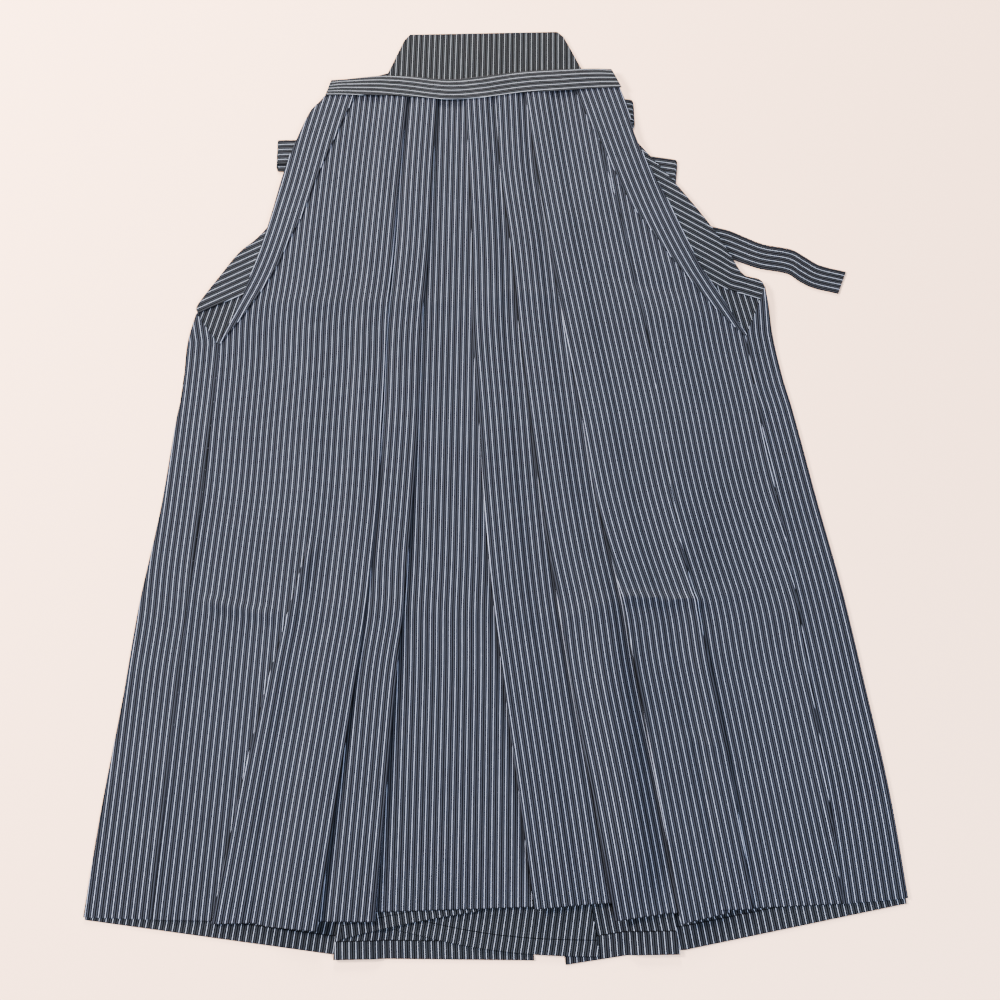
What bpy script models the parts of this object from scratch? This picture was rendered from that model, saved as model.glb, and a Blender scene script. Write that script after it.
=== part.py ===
"""Divided hakama trousers laid flat, front up.

The waist points to +Y, the hem to -Y and the front of the garment faces +Z. Every piece of
cloth is a wall swept through sections that follow named lines: the pleat edges, the seams, the
folded sides and the hem. Layers are counted in plies, one wall and one gap thick.
"""

import math
from collections import namedtuple

import bmesh
import bpy

MM = 0.001

# Cloth, in millimetres.
WALL = 1.0
SEAM_GAP = 0.3
PLY = WALL + SEAM_GAP
FOLD_RADIUS = PLY / 2
CLEAR_OF_FOLD = 2.0
CLOTH_RAMP = 9.0
SHARPEST_BEND = -0.6
SEAM_INSET = 1.0
LOFT_ROWS = 24

# Layers: the front lies on four plies, and the back of the hips lies on the folded ties.
FRONT_BASE = 4 * PLY
SIDE_BASE = 1 * PLY
TIE_LAYERS = 2 * PLY
HIP_START, HIP_END = 90.0, 170.0
SIDE_DROP_START, SIDE_DROP_END = 190.0, 260.0

Table = namedtuple("Table", "columns rows")
Turn = namedtuple("Turn", "start closed depth")
Fold = namedtuple("Fold", "line over_hem under_hem")

# Folds: the depth of cloth folded under, and where an outward fold starts and has turned over.
WAIST_Y, HEM_Y = 448.0, -480.0
PLEAT_DEPTH_WAIST, PLEAT_DEPTH_HEM = 20.0, 34.0
FRONT_TURN = Turn(start=-95.0, closed=-175.0, depth=24.0)
BACK_TURN = Turn(start=-195.0, closed=-275.0, depth=30.0)
TURN_RISEN = 0.4
FLATTEST_TURN = math.radians(40)
STEEPEST_OPEN = math.pi / 3
FOLD_POINTS, FOLD_MIDDLE = 8, 5

# Waist.
WAIST_SLOPE = 0.0175
BOARD_THICKNESS = 3.6
BOARD_EDGE_RADIUS = 0.6
BAND_BACK_Z = 4.4
BAND_TOP_Z = 9.6
BAND_END_Z = 8.3
BAND_CENTRE_X = -20.0
BAND_FLAT_HALF, BAND_END_HALF = 100.0, 150.0
BAND_ROWS = 28

# Edges of the front pleats, across the front at each height.
FRONT_PLEATS = Table(
    ("y", "left_second", "left_first", "right_first", "right_second", "right_third"),
    (
        (452, -95, -59, -25, 10, 45),
        (430, -96, -60, -25, 11, 46),
        (330, -104, -66, -22, 14, 56),
        (230, -111, -71, -20, 24, 68),
        (130, -117, -79, -20, 31, 82),
        (30, -121, -82, -15, 40, 96),
        (-70, -125, -88, -10, 50, 109),
        (-170, -134, -96, -3, 63, 128),
        (-270, -147, -105, 8, 76, 143),
        (-370, -161, -113, 20, 92, 156),
        (-490, -177, -123, 33, 109, 171),
    ),
)

# Edges that face outwards, in the lower half only.
FRONT_TURNS = Table(
    ("y", "left_turn", "right_turn"),
    (
        (452, -150, 110),
        (330, -170, 135),
        (230, -178, 155),
        (130, -182, 169),
        (30, -183, 178),
        (-70, -187, 187),
        (-170, -211, 202),
        (-270, -237, 219),
        (-370, -258, 230),
        (-490, -279, 241),
    ),
)

# The turned-back sides of the front, from the waist to the foot of each side opening.
SIDE_FOLDS = Table(
    ("y", "left_inner", "left_outer", "right_inner", "right_outer"),
    (
        (446, -153, -186, 102, 155),
        (427, -160, -199, 107, 161),
        (414, -166, -210, 111, 165),
        (373, -182, -226, 128, 172),
        (331, -198, -239, 144, 187),
        (282, -213, -250, 163, 207),
        (245, -229, -259, 186, 221),
        (205, -245, -270, 210, 236),
        (157, -274, -286, 244, 261),
        (118, -303, -305, 279, 283),
    ),
)

# Seam and outer edge of the side panels.
SIDE_PANELS = Table(
    ("y", "left_seam", "left_side", "right_seam", "right_side"),
    (
        (176, -304, -324, 283, 308),
        (154, -304, -331, 283, 310),
        (118, -304, -339, 283, 312),
        (66, -306, -341, 287, 319),
        (30, -308, -346, 290, 326),
        (-70, -314, -356, 301, 342),
        (-170, -321, -371, 311, 359),
        (-270, -326, -381, 318, 372),
        (-370, -331, -393, 324, 384),
        (-480, -337, -403, 328, 391),
    ),
)

# Lines of the back panels.
BACK_LINES = Table(
    ("y", "left_outer", "left_fold", "left_inner", "right_inner", "right_fold", "right_outer"),
    (
        (424, -137, -66, -3, -3, 60, 134),
        (345, -199, -72, -3, -3, 66, 188),
        (260, -256, -80, -3, -3, 74, 247),
        (204, -303, -86, -3, -3, 81, 278),
        (154, -330, -92, -3, -3, 88, 309),
        (118, -338, -97, -3, -3, 93, 311),
        (30, -345, -107, -1, 1, 103, 325),
        (-70, -355, -118, 3, 8, 115, 341),
        (-170, -370, -128, 9, 18, 127, 358),
        (-270, -380, -138, 15, 30, 139, 371),
        (-370, -392, -148, 22, 44, 152, 383),
        (-522, -405, -161, 30, 59, 168, 391),
    ),
)

# Rows of the facings, the back's sides folded inwards: outer end and inner end of each row.
LEFT_FACING = Table(
    ("outer_x", "outer_y", "inner_x", "inner_y"),
    (
        (-140, 421, -104, 421),
        (-200, 345, -150, 332),
        (-257, 260, -206, 245),
        (-286, 231, -232, 220),
        (-305, 204, -250, 203),
        (-324, 176, -261, 190),
        (-331, 161, -266, 184),
    ),
)
RIGHT_FACING = Table(
    ("outer_x", "outer_y", "inner_x", "inner_y"),
    (
        (136, 421, 100, 421),
        (171, 370, 120, 352),
        (219, 305, 165, 285),
        (255, 250, 200, 234),
        (274, 212, 222, 214),
        (288, 187, 232, 205),
        (304, 182, 236, 201),
        (301, 168, 240, 195),
    ),
)

# Ends of each row of the inner legs, which cross each other at the hem.
LEFT_INNER_LEG = Table(
    ("outer_x", "outer_y", "inner_x", "inner_y"),
    (
        (-104, -60, -60, -60),
        (-118, -180, -48, -180),
        (-132, -300, -36, -300),
        (-146, -420, -26, -420),
        (-155, -497, -22, -474),
    ),
)
RIGHT_INNER_LEG = Table(
    ("outer_x", "outer_y", "inner_x", "inner_y"),
    (
        (-68, -60, 24, -60),
        (-78, -180, 44, -180),
        (-88, -300, 62, -300),
        (-98, -410, 80, -430),
        (-108, -488, 92, -517),
    ),
)

# Upper and lower edge of the front waistband, along the waist.
WAISTBAND = Table(
    ("top_x", "top_y", "bottom_x", "bottom_y"),
    (
        (-186, 456, -193, 434),
        (-167, 457, -170, 434),
        (-129, 460, -130, 432),
        (-90, 458, -92, 430),
        (-47, 453, -47, 427),
        (-9, 456, -9, 429),
        (39, 462, 42, 434),
        (87, 464, 88, 436),
        (123, 465, 126, 438),
        (148, 464, 158, 438),
    ),
)

# The waistband's fold: share of its width from the lower edge up, and of its height off the back.
BAND_PROFILE = Table(
    ("up", "raised"),
    (
        (0.0, 1.0),
        (0.35, 1.0),
        (0.7, 1.0),
        (0.93, 0.8),
        (1.0, 0.5),
        (0.93, 0.15),
        (0.7, 0.0),
        (0.08, 0.0),
    ),
)

# Corners of the back waist board, from its lower left corner round to its lower right one.
BOARD_OUTLINE = (
    (-136, 424.3),
    (-122, 462),
    (-100, 514),
    (-93, 522),
    (86, 522),
    (94, 514),
    (115, 466),
    (130, 424.3),
)

# Ties: upper and lower edge, and the height of the middle of the cloth, along each tie.
TIE_COLUMNS = ("top_x", "top_y", "bottom_x", "bottom_y", "z")
LOW, HIGH = 0.5, 0.5 + PLY
LEFT_BACK_TIE = Table(
    TIE_COLUMNS,
    (
        (-119.8, 469, -130.3, 441, LOW),
        (-140, 462, -149, 433, LOW),
        (-184, 436, -194, 408, LOW),
    ),
)
LEFT_FRONT_TIE = Table(
    TIE_COLUMNS,
    (
        (-178, 374, -178, 343, LOW),
        (-246, 369, -246, 337, LOW),
        (-248.2, 373, -248.2, 341, (LOW + HIGH) / 2),
        (-247, 378, -247, 346, HIGH),
        (-160, 375, -160, 343, HIGH),
        (150, 352, 146, 320, HIGH),
        (218, 342, 214, 310, HIGH),
        (220.2, 338, 216.2, 306, (LOW + HIGH) / 2),
        (218, 334, 214, 302, LOW),
        (158, 338, 154, 306, LOW),
    ),
)
RIGHT_FRONT_TIE = Table(
    TIE_COLUMNS,
    (
        (140, 415, 140, 386, LOW),
        (174, 415, 174, 386, LOW),
        (176.2, 424, 176.2, 394, (LOW + HIGH) / 2),
        (174, 434, 174, 403, HIGH),
        (139, 436, 139, 405, HIGH),
    ),
)
RIGHT_BACK_TIE = Table(
    TIE_COLUMNS,
    (
        (188, 274, 180, 244, HIGH),
        (222, 264, 213, 234, HIGH),
        (255, 254, 246, 222, (LOW + HIGH) / 2),
        (274, 249, 264, 217, LOW),
        (311, 231, 302, 201, LOW),
        (344, 223, 336, 193, LOW),
        (360, 212, 349, 183, LOW),
        (373, 203, 363, 175, LOW),
        (402.5, 194, 391, 167, LOW),
    ),
)

# Hems, at the outer end and at the two sides of each fold.
LEFT_FRONT_HEM = -476.0
RIGHT_FRONT_HEM = -474.0
LEFT_FRONT_FOLDS = (
    Fold("left_turn", -478.0, -478.0),
    Fold("left_second", -488.0, -480.0),
    Fold("left_first", -481.0, -473.0),
)
RIGHT_FRONT_FOLDS = (
    Fold("right_turn", -477.0, -477.0),
    Fold("right_third", -488.0, -482.0),
    Fold("right_second", -484.0, -469.0),
    Fold("right_first", -474.0, -471.0),
)
CENTRE_PANEL_HEM = -473.0
CENTRE_SEAM_INSET = 6.0
LEFT_BACK_HEMS = (-474.0, -509.0, -512.0, -518.0)
RIGHT_BACK_HEMS = (-470.0, -511.0, -515.0, -521.0)


def clear_scene():
    """Empties the scene, so that only this garment is in it."""
    for item in list(bpy.data.objects):
        bpy.data.objects.remove(item, do_unlink=True)


def make_material(name, colour, roughness):
    """A cloth material with one colour."""
    material = bpy.data.materials.new(name)
    material.use_nodes = True
    shader = material.node_tree.nodes["Principled BSDF"]
    shader.inputs["Base Color"].default_value = (*colour, 1.0)
    shader.inputs["Roughness"].default_value = roughness
    shader.inputs["Metallic"].default_value = 0.0
    return material


def mix(a, b, share):
    """The value a share of the way from a to b."""
    return a + (b - a) * share


def evenly(count):
    """That many shares, evenly spaced from 0 to 1."""
    return [i / (count - 1) for i in range(count)]


def smooth_share(value, start, end):
    """How far value has gone from start to end, from 0 to 1, easing in and out."""
    share = min(max((value - start) / (end - start), 0.0), 1.0)
    return share * share * (3.0 - 2.0 * share)


def smooth_curve(at, values):
    """A smooth function through the values, straight past its ends."""
    order = sorted(range(len(at)), key=lambda i: at[i])
    xs = [at[i] for i in order]
    ys = [values[i] for i in order]
    last = len(xs) - 1
    slopes = []
    for i in range(len(xs)):
        low, high = max(i - 1, 0), min(i + 1, last)
        slopes.append((ys[high] - ys[low]) / (xs[high] - xs[low]))

    def value(x):
        if x <= xs[0]:
            return ys[0] + slopes[0] * (x - xs[0])
        if x >= xs[last]:
            return ys[last] + slopes[last] * (x - xs[last])
        i = next(k for k in range(last) if x <= xs[k + 1])
        step = xs[i + 1] - xs[i]
        t = (x - xs[i]) / step
        bend = (2 * t**3 - 3 * t**2 + 1) * ys[i] + (3 * t**2 - 2 * t**3) * ys[i + 1]
        return bend + step * ((t**3 - 2 * t**2 + t) * slopes[i] + (t**3 - t**2) * slopes[i + 1])

    return value


def column(table, name):
    """The values of one named column."""
    place = table.columns.index(name)
    return [row[place] for row in table.rows]


def line_of(table, name):
    """One named line of a table, as a function of the height y."""
    return smooth_curve(column(table, "y"), column(table, name))


def along(table, name):
    """One named column, as a function of the share of the way through the table's rows."""
    values = column(table, name)
    return smooth_curve(evenly(len(values)), values)


def hip_share(y):
    """0 on the legs and 1 on the hips, where everything lies on the folded ties."""
    return smooth_share(y, HIP_START, HIP_END)


def back_base(y):
    """Underside of the back: on the ground along the legs, on the ties at the hips."""
    return TIE_LAYERS * hip_share(y)


def front_base(x, y):
    """Underside of the front's lowest ply: it comes down to the back at the sides of the legs."""
    drop = smooth_share(abs(x), SIDE_DROP_START, SIDE_DROP_END) * (1.0 - hip_share(y))
    return FRONT_BASE - (FRONT_BASE - SIDE_BASE) * drop


def middle(base, plies):
    """Height of the middle of the wall that lies so many plies above a base."""
    return base + plies * PLY + WALL / 2


def pleat_depth(y):
    """How deep a front pleat is folded under at a height."""
    share = (WAIST_Y - y) / (WAIST_Y - HEM_Y)
    return mix(PLEAT_DEPTH_WAIST, PLEAT_DEPTH_HEM, share)


def fold_curve(turn, straight):
    """Six points of cloth folded on itself like an S, as (onward, up) from where it begins.

    The cloth turns up through an angle, runs straight and turns back through the same angle.
    """
    across, up = FOLD_RADIUS * math.sin(turn), FOLD_RADIUS * (1.0 - math.cos(turn))
    half_across = FOLD_RADIUS * math.sin(turn / 2)
    half_up = FOLD_RADIUS * (1.0 - math.cos(turn / 2))
    third = (across + straight * math.cos(turn), up + straight * math.sin(turn))
    last = (third[0] + across, third[1] + up)
    return [
        (0.0, 0.0),
        (half_across, half_up),
        (across, up),
        third,
        (last[0] - half_across, last[1] - half_up),
        last,
    ]


def pleat_section(edge, depth, side):
    """A knife pleat whose edge faces the centre, as (x, height) from the outside inwards."""
    top = 2 * PLY
    inner = edge + side * (depth + CLEAR_OF_FOLD)
    section = [(inner + side * CLOTH_RAMP, 0.0), (inner, top)]
    for onward, up in fold_curve(math.pi, depth):
        section.append((edge - side * onward, top - up))
    return section


def turn_section(edge, side, y, shape):
    """A fold whose edge faces outwards, as (x, height): flat at its start, deepest at the hem."""
    progress = min(max((shape.start - y) / (shape.start - shape.closed), 0.0), 1.0)
    depth = shape.depth * max((shape.closed - y) / (shape.closed - HEM_Y), 0.0)
    turn = max(math.pi * progress, FLATTEST_TURN)
    slope = 2 * FOLD_RADIUS / math.tan(max(turn, STEEPEST_OPEN) / 2)
    straight = max(slope, SEAM_GAP) + depth
    rise = smooth_share(progress, 0.0, TURN_RISEN)
    curve = [(onward, up * rise) for onward, up in fold_curve(turn, straight)]
    last_onward, top = curve[-1]
    section = [(edge - side * (onward - last_onward), up) for onward, up in curve]
    inner = edge - side * (straight + CLEAR_OF_FOLD)
    return section + [(inner, top), (inner - side * CLOTH_RAMP, 0.0)]


def fold_hems(over_hem, under_hem):
    """Hem of each point of a fold: the folded-under ply leads from one hem to the other."""
    return [over_hem] * FOLD_MIDDLE + [under_hem] * (FOLD_POINTS - FOLD_MIDDLE)


def mitred(before, after):
    """The normal at a bend between two directions of a section, long enough to keep the wall even."""
    normals = [(-rise / length, run / length) for run, rise, length in (before, after)]
    (run_a, rise_a), (run_b, rise_b) = normals
    scale = 1.0 + max(run_a * run_b + rise_a * rise_b, SHARPEST_BEND)
    return (run_a + run_b) / scale, (rise_a + rise_b) / scale


def wall_faces(row, across, wall):
    """The upper and the lower points of the wall around one row of middle points."""
    steps = []
    for here, after in zip(row, row[1:]):
        run = (after[0] - here[0]) * across[0] + (after[1] - here[1]) * across[1]
        rise = after[2] - here[2]
        steps.append((run, rise, math.hypot(run, rise)))
    upper, lower = [], []
    for place, (x, y, z) in enumerate(row):
        run, rise = mitred(steps[max(place - 1, 0)], steps[min(place, len(steps) - 1)])
        for points, half in ((upper, wall / 2), (lower, -wall / 2)):
            points.append((x + half * run * across[0], y + half * run * across[1], z + half * rise))
    return upper, lower


def add_sheet(name, rows, material, collection, across=(1.0, 0.0)):
    """A wall of cloth lofted through rings, one around each row of points on its middle surface.

    Rows are in millimetres, and across is the horizontal direction in which they run.
    """
    model = bmesh.new()
    rings = []
    for row in rows:
        sides = wall_faces(row, across, WALL)
        rings.append(
            [[model.verts.new([MM * n for n in point]) for point in side] for side in sides]
        )
    last = len(rows[0]) - 1
    for (upper, lower), (next_upper, next_lower) in zip(rings, rings[1:]):
        for i in range(last):
            model.faces.new((upper[i], upper[i + 1], next_upper[i + 1], next_upper[i]))
            model.faces.new((lower[i + 1], lower[i], next_lower[i], next_lower[i + 1]))
        for i in (0, last):
            model.faces.new((upper[i], next_upper[i], next_lower[i], lower[i]))
    for upper, lower in (rings[0], rings[-1]):
        for i in range(last):
            model.faces.new((upper[i], lower[i], lower[i + 1], upper[i + 1]))
    bmesh.ops.recalc_face_normals(model, faces=model.faces)
    mesh = bpy.data.meshes.new(name)
    model.to_mesh(mesh)
    model.free()
    mesh.materials.append(material)
    item = bpy.data.objects.new(name, mesh)
    collection.objects.link(item)
    return item


def waist_height(x):
    """Top edge of the front, inside the waistband."""
    return WAIST_Y + WAIST_SLOPE * x


def front_outer(side):
    """Outer edge of a front leg: the folded side at the hip, then the seam of the side panel."""
    word = "left" if side < 0 else "right"
    hip = line_of(SIDE_FOLDS, word + "_outer")
    seam = line_of(SIDE_PANELS, word + "_seam")
    foot = column(SIDE_FOLDS, "y")[-1]

    def edge(y):
        return (hip(y) if y > foot else seam(y)) - side * SEAM_INSET

    return edge


def front_leg(name, side, outer_hem, folds, ending, material, collection):
    """One front leg: a wall folded into its pleats, from the outer seam to the centre."""
    outer = front_outer(side)
    lines = {}
    for fold in folds:
        table = FRONT_TURNS if fold.line.endswith("turn") else FRONT_PLEATS
        lines[fold.line] = line_of(table, fold.line)

    def section(y):
        found = [(outer(y), 0.0)]
        for fold in folds:
            edge = lines[fold.line](y)
            if fold.line.endswith("turn"):
                found += turn_section(edge, side, y, FRONT_TURN)
            else:
                found += pleat_section(edge, pleat_depth(y), side)
        return found + [(x, 0.0) for x in ending(y)]

    hems = [outer_hem]
    for fold in folds:
        hems += fold_hems(fold.over_hem, fold.under_hem)
    hems += [CENTRE_PANEL_HEM] * len(ending(0.0))
    tops = [waist_height(x) for x, _ in section(WAIST_Y)]
    rows = []
    for share in evenly(LOFT_ROWS):
        row = []
        for place, (top, hem) in enumerate(zip(tops, hems)):
            y = mix(top, hem, share)
            x, height = section(y)[place]
            row.append((x, y, middle(front_base(x, y), 0.0) + height))
        rows.append(row)
    return add_sheet(name, rows, material, collection)


def left_front_leg(material, collection):
    """The left leg of the front, which ends at the centre seam hidden under its first pleat."""
    first = line_of(FRONT_PLEATS, "left_first")

    def ending(y):
        return [first(y) - CENTRE_SEAM_INSET - SEAM_GAP / 2]

    return front_leg(
        "front_left_leg", -1, LEFT_FRONT_HEM, LEFT_FRONT_FOLDS, ending, material, collection
    )


def right_front_leg(material, collection):
    """The right leg of the front, with the centre panel."""
    first = line_of(FRONT_PLEATS, "left_first")
    near = line_of(FRONT_PLEATS, "right_first")

    def ending(y):
        seam = first(y) - CENTRE_SEAM_INSET + SEAM_GAP / 2
        return [mix(near(y), seam, share) for share in (1 / 3, 2 / 3, 1.0)]

    return front_leg(
        "front_right_leg", 1, RIGHT_FRONT_HEM, RIGHT_FRONT_FOLDS, ending, material, collection
    )


def side_panel(name, side, corner_y, outer_hem, seam_hem, material, collection):
    """The narrow panel along a side of the front, below the side opening."""
    word = "left" if side < 0 else "right"
    seam = line_of(SIDE_PANELS, word + "_seam")
    outer = line_of(SIDE_PANELS, word + "_side")
    tip_y = column(SIDE_FOLDS, "y")[-1] - SEAM_INSET
    rows = []
    for share in evenly(LOFT_ROWS):
        seam_y = mix(tip_y, seam_hem, share)
        outer_y = mix(corner_y, outer_hem, share)
        row = []
        for across in evenly(4):
            y = mix(seam_y, outer_y, across)
            x = mix(seam(seam_y) + side * (SEAM_GAP - SEAM_INSET), outer(outer_y), across)
            row.append((x, y, middle(front_base(x, y), 0.0)))
        rows.append(row)
    return add_sheet(name, rows, material, collection)


def side_fold(name, side, material, collection):
    """The turned-back side of the front, a long leaf shape on top of the front leg."""
    word = "left" if side < 0 else "right"
    inner = line_of(SIDE_FOLDS, word + "_inner")
    outer = line_of(SIDE_FOLDS, word + "_outer")
    foot = column(SIDE_FOLDS, "y")[-1]
    rows = []
    for share in evenly(LOFT_ROWS):
        row = []
        for across in evenly(5):
            y = mix(waist_height(inner(WAIST_Y)), foot, share)
            x = mix(inner(y), outer(y), across)
            row.append((x, y, middle(front_base(x, y), 1.0)))
        rows.append(row)
    return add_sheet(name, rows, material, collection)


def two_edged_sheet(name, table, columns, rows, height, material, collection):
    """A wall between the outer and the inner ends that a table gives, row by row."""
    lines = [along(table, label) for label in ("outer_x", "outer_y", "inner_x", "inner_y")]
    built = []
    for share in evenly(rows):
        ends = [line(share) for line in lines]
        row = []
        for across in evenly(columns):
            x = mix(ends[0], ends[2], across)
            y = mix(ends[1], ends[3], across)
            row.append((x, y, height(y)))
        built.append(row)
    return add_sheet(name, built, material, collection)


def facing(name, table, material, collection):
    """A side of the back folded inwards, which shows through the side opening."""
    return two_edged_sheet(
        name, table, 6, 14, lambda y: middle(back_base(y), 1.0), material, collection
    )


def inner_leg(name, table, plies, material, collection):
    """An inner leg piece, which lies between the back and the front."""
    return two_edged_sheet(
        name, table, 7, 12, lambda y: middle(0.0, plies), material, collection
    )


def back_leg(name, side, hems, material, collection):
    """One back leg: the wall that lies on the ground, with one fold facing outwards."""
    word = "left" if side < 0 else "right"
    outer, fold, inner = (
        line_of(BACK_LINES, word + label) for label in ("_outer", "_fold", "_inner")
    )
    outer_hem, side_hem, fold_hem, inner_hem = hems
    side_shares = evenly(5)[:-1]
    inner_shares = evenly(3)[1:]

    def section(y):
        turn = turn_section(fold(y), side, y, BACK_TURN)
        first, last = turn[0][0], turn[-1][0]
        seam = inner(y) + side * SEAM_GAP / 2
        beside = [(mix(outer(y), first, share), 0.0) for share in side_shares]
        return beside + turn + [(mix(last, seam, share), 0.0) for share in inner_shares]

    hem_row = [mix(outer_hem, side_hem, share) for share in side_shares]
    hem_row += fold_hems(fold_hem, side_hem)[::-1]
    hem_row += [mix(fold_hem, inner_hem, share) for share in inner_shares]
    top = column(BACK_LINES, "y")[0]
    rows = []
    for share in evenly(LOFT_ROWS):
        row = []
        for place, hem in enumerate(hem_row):
            y = mix(top, hem, share)
            x, height = section(y)[place]
            row.append((x, y, middle(back_base(y), 0.0) + height))
        rows.append(row)
    return add_sheet(name, rows, material, collection)


def waistband(material, collection):
    """The front waistband, folded over the top edge of the front."""
    lines = [along(WAISTBAND, label) for label in WAISTBAND.columns]
    rows = []
    for share in evenly(BAND_ROWS):
        top_x, top_y, bottom_x, bottom_y = (line(share) for line in lines)
        off_centre = abs(top_x - BAND_CENTRE_X)
        drop = smooth_share(off_centre, BAND_FLAT_HALF, BAND_END_HALF)
        top_z = mix(BAND_TOP_Z, BAND_END_Z, drop)
        row = []
        for up, raised in BAND_PROFILE.rows:
            z = mix(BAND_BACK_Z, top_z, raised)
            row.append((mix(bottom_x, top_x, up), mix(bottom_y, top_y, up), z))
        rows.append(row)
    return add_sheet("front_waistband", rows, material, collection, across=(0.0, 1.0))


def waist_board(material, collection):
    """The stiff back board: a flat outline, filled and extruded, with softened edges."""
    curve = bpy.data.curves.new("back_waist_board", "CURVE")
    curve.dimensions = "2D"
    curve.fill_mode = "BOTH"
    curve.extrude = MM * (BOARD_THICKNESS / 2 - BOARD_EDGE_RADIUS)
    curve.bevel_depth = MM * BOARD_EDGE_RADIUS
    curve.bevel_resolution = 1
    curve.offset = -MM * BOARD_EDGE_RADIUS
    outline = curve.splines.new("POLY")
    outline.points.add(len(BOARD_OUTLINE) - 1)
    for point, (x, y) in zip(outline.points, BOARD_OUTLINE):
        point.co = (x * MM, y * MM, 0.0, 1.0)
    outline.use_cyclic_u = True
    curve.materials.append(material)
    item = bpy.data.objects.new("back_waist_board", curve)
    item.location.z = MM * BOARD_THICKNESS / 2
    collection.objects.link(item)
    return item


def tie(name, table, material, collection):
    """A flat tie, lying on the ground or folded on itself."""
    rows = []
    for across in evenly(3):
        row = []
        for top_x, top_y, bottom_x, bottom_y, z in table.rows:
            row.append((mix(top_x, bottom_x, across), mix(top_y, bottom_y, across), z))
        rows.append(row)
    return add_sheet(name, rows, material, collection)


def build():
    """Builds every piece of the garment."""
    clear_scene()
    collection = bpy.data.collections.new("hakama")
    bpy.context.scene.collection.children.link(collection)
    leg_cloth = make_material("leg_cloth", (0.055, 0.072, 0.115), 0.82)
    inner_cloth = make_material("inner_cloth", (0.045, 0.055, 0.09), 0.85)
    waist_cloth = make_material("waist_cloth", (0.075, 0.085, 0.12), 0.8)
    tie_cloth = make_material("tie_cloth", (0.06, 0.07, 0.1), 0.8)

    waist_board(waist_cloth, collection)
    waistband(waist_cloth, collection)
    left_front_leg(leg_cloth, collection)
    right_front_leg(leg_cloth, collection)
    side_panel("front_left_side_panel", -1, 154.0, -473.0, LEFT_FRONT_HEM, leg_cloth, collection)
    side_panel("front_right_side_panel", 1, 176.0, -470.0, RIGHT_FRONT_HEM, leg_cloth, collection)
    side_fold("left_side_fold", -1, leg_cloth, collection)
    side_fold("right_side_fold", 1, leg_cloth, collection)
    facing("left_side_facing", LEFT_FACING, inner_cloth, collection)
    facing("right_side_facing", RIGHT_FACING, inner_cloth, collection)
    back_leg("back_left_leg", -1, LEFT_BACK_HEMS, inner_cloth, collection)
    back_leg("back_right_leg", 1, RIGHT_BACK_HEMS, inner_cloth, collection)
    inner_leg("left_inner_leg", LEFT_INNER_LEG, 3.0, inner_cloth, collection)
    inner_leg("right_inner_leg", RIGHT_INNER_LEG, 1.0, inner_cloth, collection)
    tie("left_back_tie", LEFT_BACK_TIE, tie_cloth, collection)
    tie("left_front_tie", LEFT_FRONT_TIE, tie_cloth, collection)
    tie("right_front_tie", RIGHT_FRONT_TIE, tie_cloth, collection)
    tie("right_back_tie", RIGHT_BACK_TIE, tie_cloth, collection)


build()
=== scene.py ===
"""Divided hakama trousers laid flat, front up: the cloth, its stripes, folds and creases.

Lengths are in millimetres until a mesh is written. The waist points to +Y, the hem to -Y and
the front of the garment faces +Z. Each piece is a thin closed shell of cloth, swept through
rails that run from the waist to the hem, and it lies where its solid lies.
"""

import logging
import math
from dataclasses import dataclass, replace
from enum import Enum
from typing import Callable, Sequence

import bmesh
import bpy
import numpy as np
from mathutils import Matrix, Vector


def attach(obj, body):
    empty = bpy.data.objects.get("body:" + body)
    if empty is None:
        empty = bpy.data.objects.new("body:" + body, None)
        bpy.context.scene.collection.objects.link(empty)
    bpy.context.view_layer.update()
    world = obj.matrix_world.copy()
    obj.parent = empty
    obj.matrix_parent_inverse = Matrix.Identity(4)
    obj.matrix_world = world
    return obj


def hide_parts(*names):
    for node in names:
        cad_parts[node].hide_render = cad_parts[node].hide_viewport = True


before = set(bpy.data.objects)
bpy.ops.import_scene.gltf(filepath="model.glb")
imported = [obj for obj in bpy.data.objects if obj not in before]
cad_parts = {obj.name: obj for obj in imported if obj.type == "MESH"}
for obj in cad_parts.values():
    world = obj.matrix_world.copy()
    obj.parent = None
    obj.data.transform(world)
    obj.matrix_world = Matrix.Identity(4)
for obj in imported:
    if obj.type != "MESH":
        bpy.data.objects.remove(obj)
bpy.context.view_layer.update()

logging.basicConfig(level=logging.INFO, format="%(message)s")
log = logging.getLogger("hakama")

Array = np.ndarray
Line = Callable[[Array], Array]
Field = Callable[[Array, Array], Array]

MM = 0.001
THREAD_MAP = "threads"
# A map that darkens the cloth in two places. Along rows of stitches it is partly their dark thread and
# partly painted shade in the stitch groove. Along hem edges and their rims it is painted shadow under the
# hem.
STITCH_SHADE_MAP = "sewing"
ROOT_BODY = "root"
FLOOR_Z = -0.0004

# Cloth.
CLOTH = 0.7
WALL = 1.0
PLY = 1.3
FOLD_RADIUS = PLY / 2
CLEAR_OF_FOLD = 1.0
CLOTH_RAMP = 13.0
SEAM_INSET = 1.0
SEAM_GAP = 0.3
FOLD_STEPS = 6
COLUMN_WIDTH = 5.0
STRIPE_PITCH = 6.5
WARP_PITCH, WEFT_PITCH = 0.65, 0.8

# Layers.
FRONT_BASE = 4 * PLY
SIDE_BASE = 1 * PLY
TIE_LAYERS = 2 * PLY
HIP_START, HIP_END = 90.0, 170.0
SIDE_DROP_START, SIDE_DROP_END = 190.0, 260.0

# Heights.
WAIST_Y, HEM_Y = 448.0, -480.0
WAIST_SLOPE = 0.0175
SIDE_FOOT_Y = 118.0
PLEAT_DEPTH_WAIST, PLEAT_DEPTH_HEM = 20.0, 34.0
TURN_RISEN = 0.4
FLATTEST_TURN = math.radians(40)
STEEPEST_OPEN = math.pi / 3
HEM_STEP = 0.3
# Width of that darkened band, and the grey the cloth is multiplied by there: dark thread with painted shade
# and painted shadow.
STITCH_SHADE_WIDTH = 0.5
STITCH_SHADE_GREY = 0.08
LIP_INSET = 6.0
PLEAT_LOFT = 2.0
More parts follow.
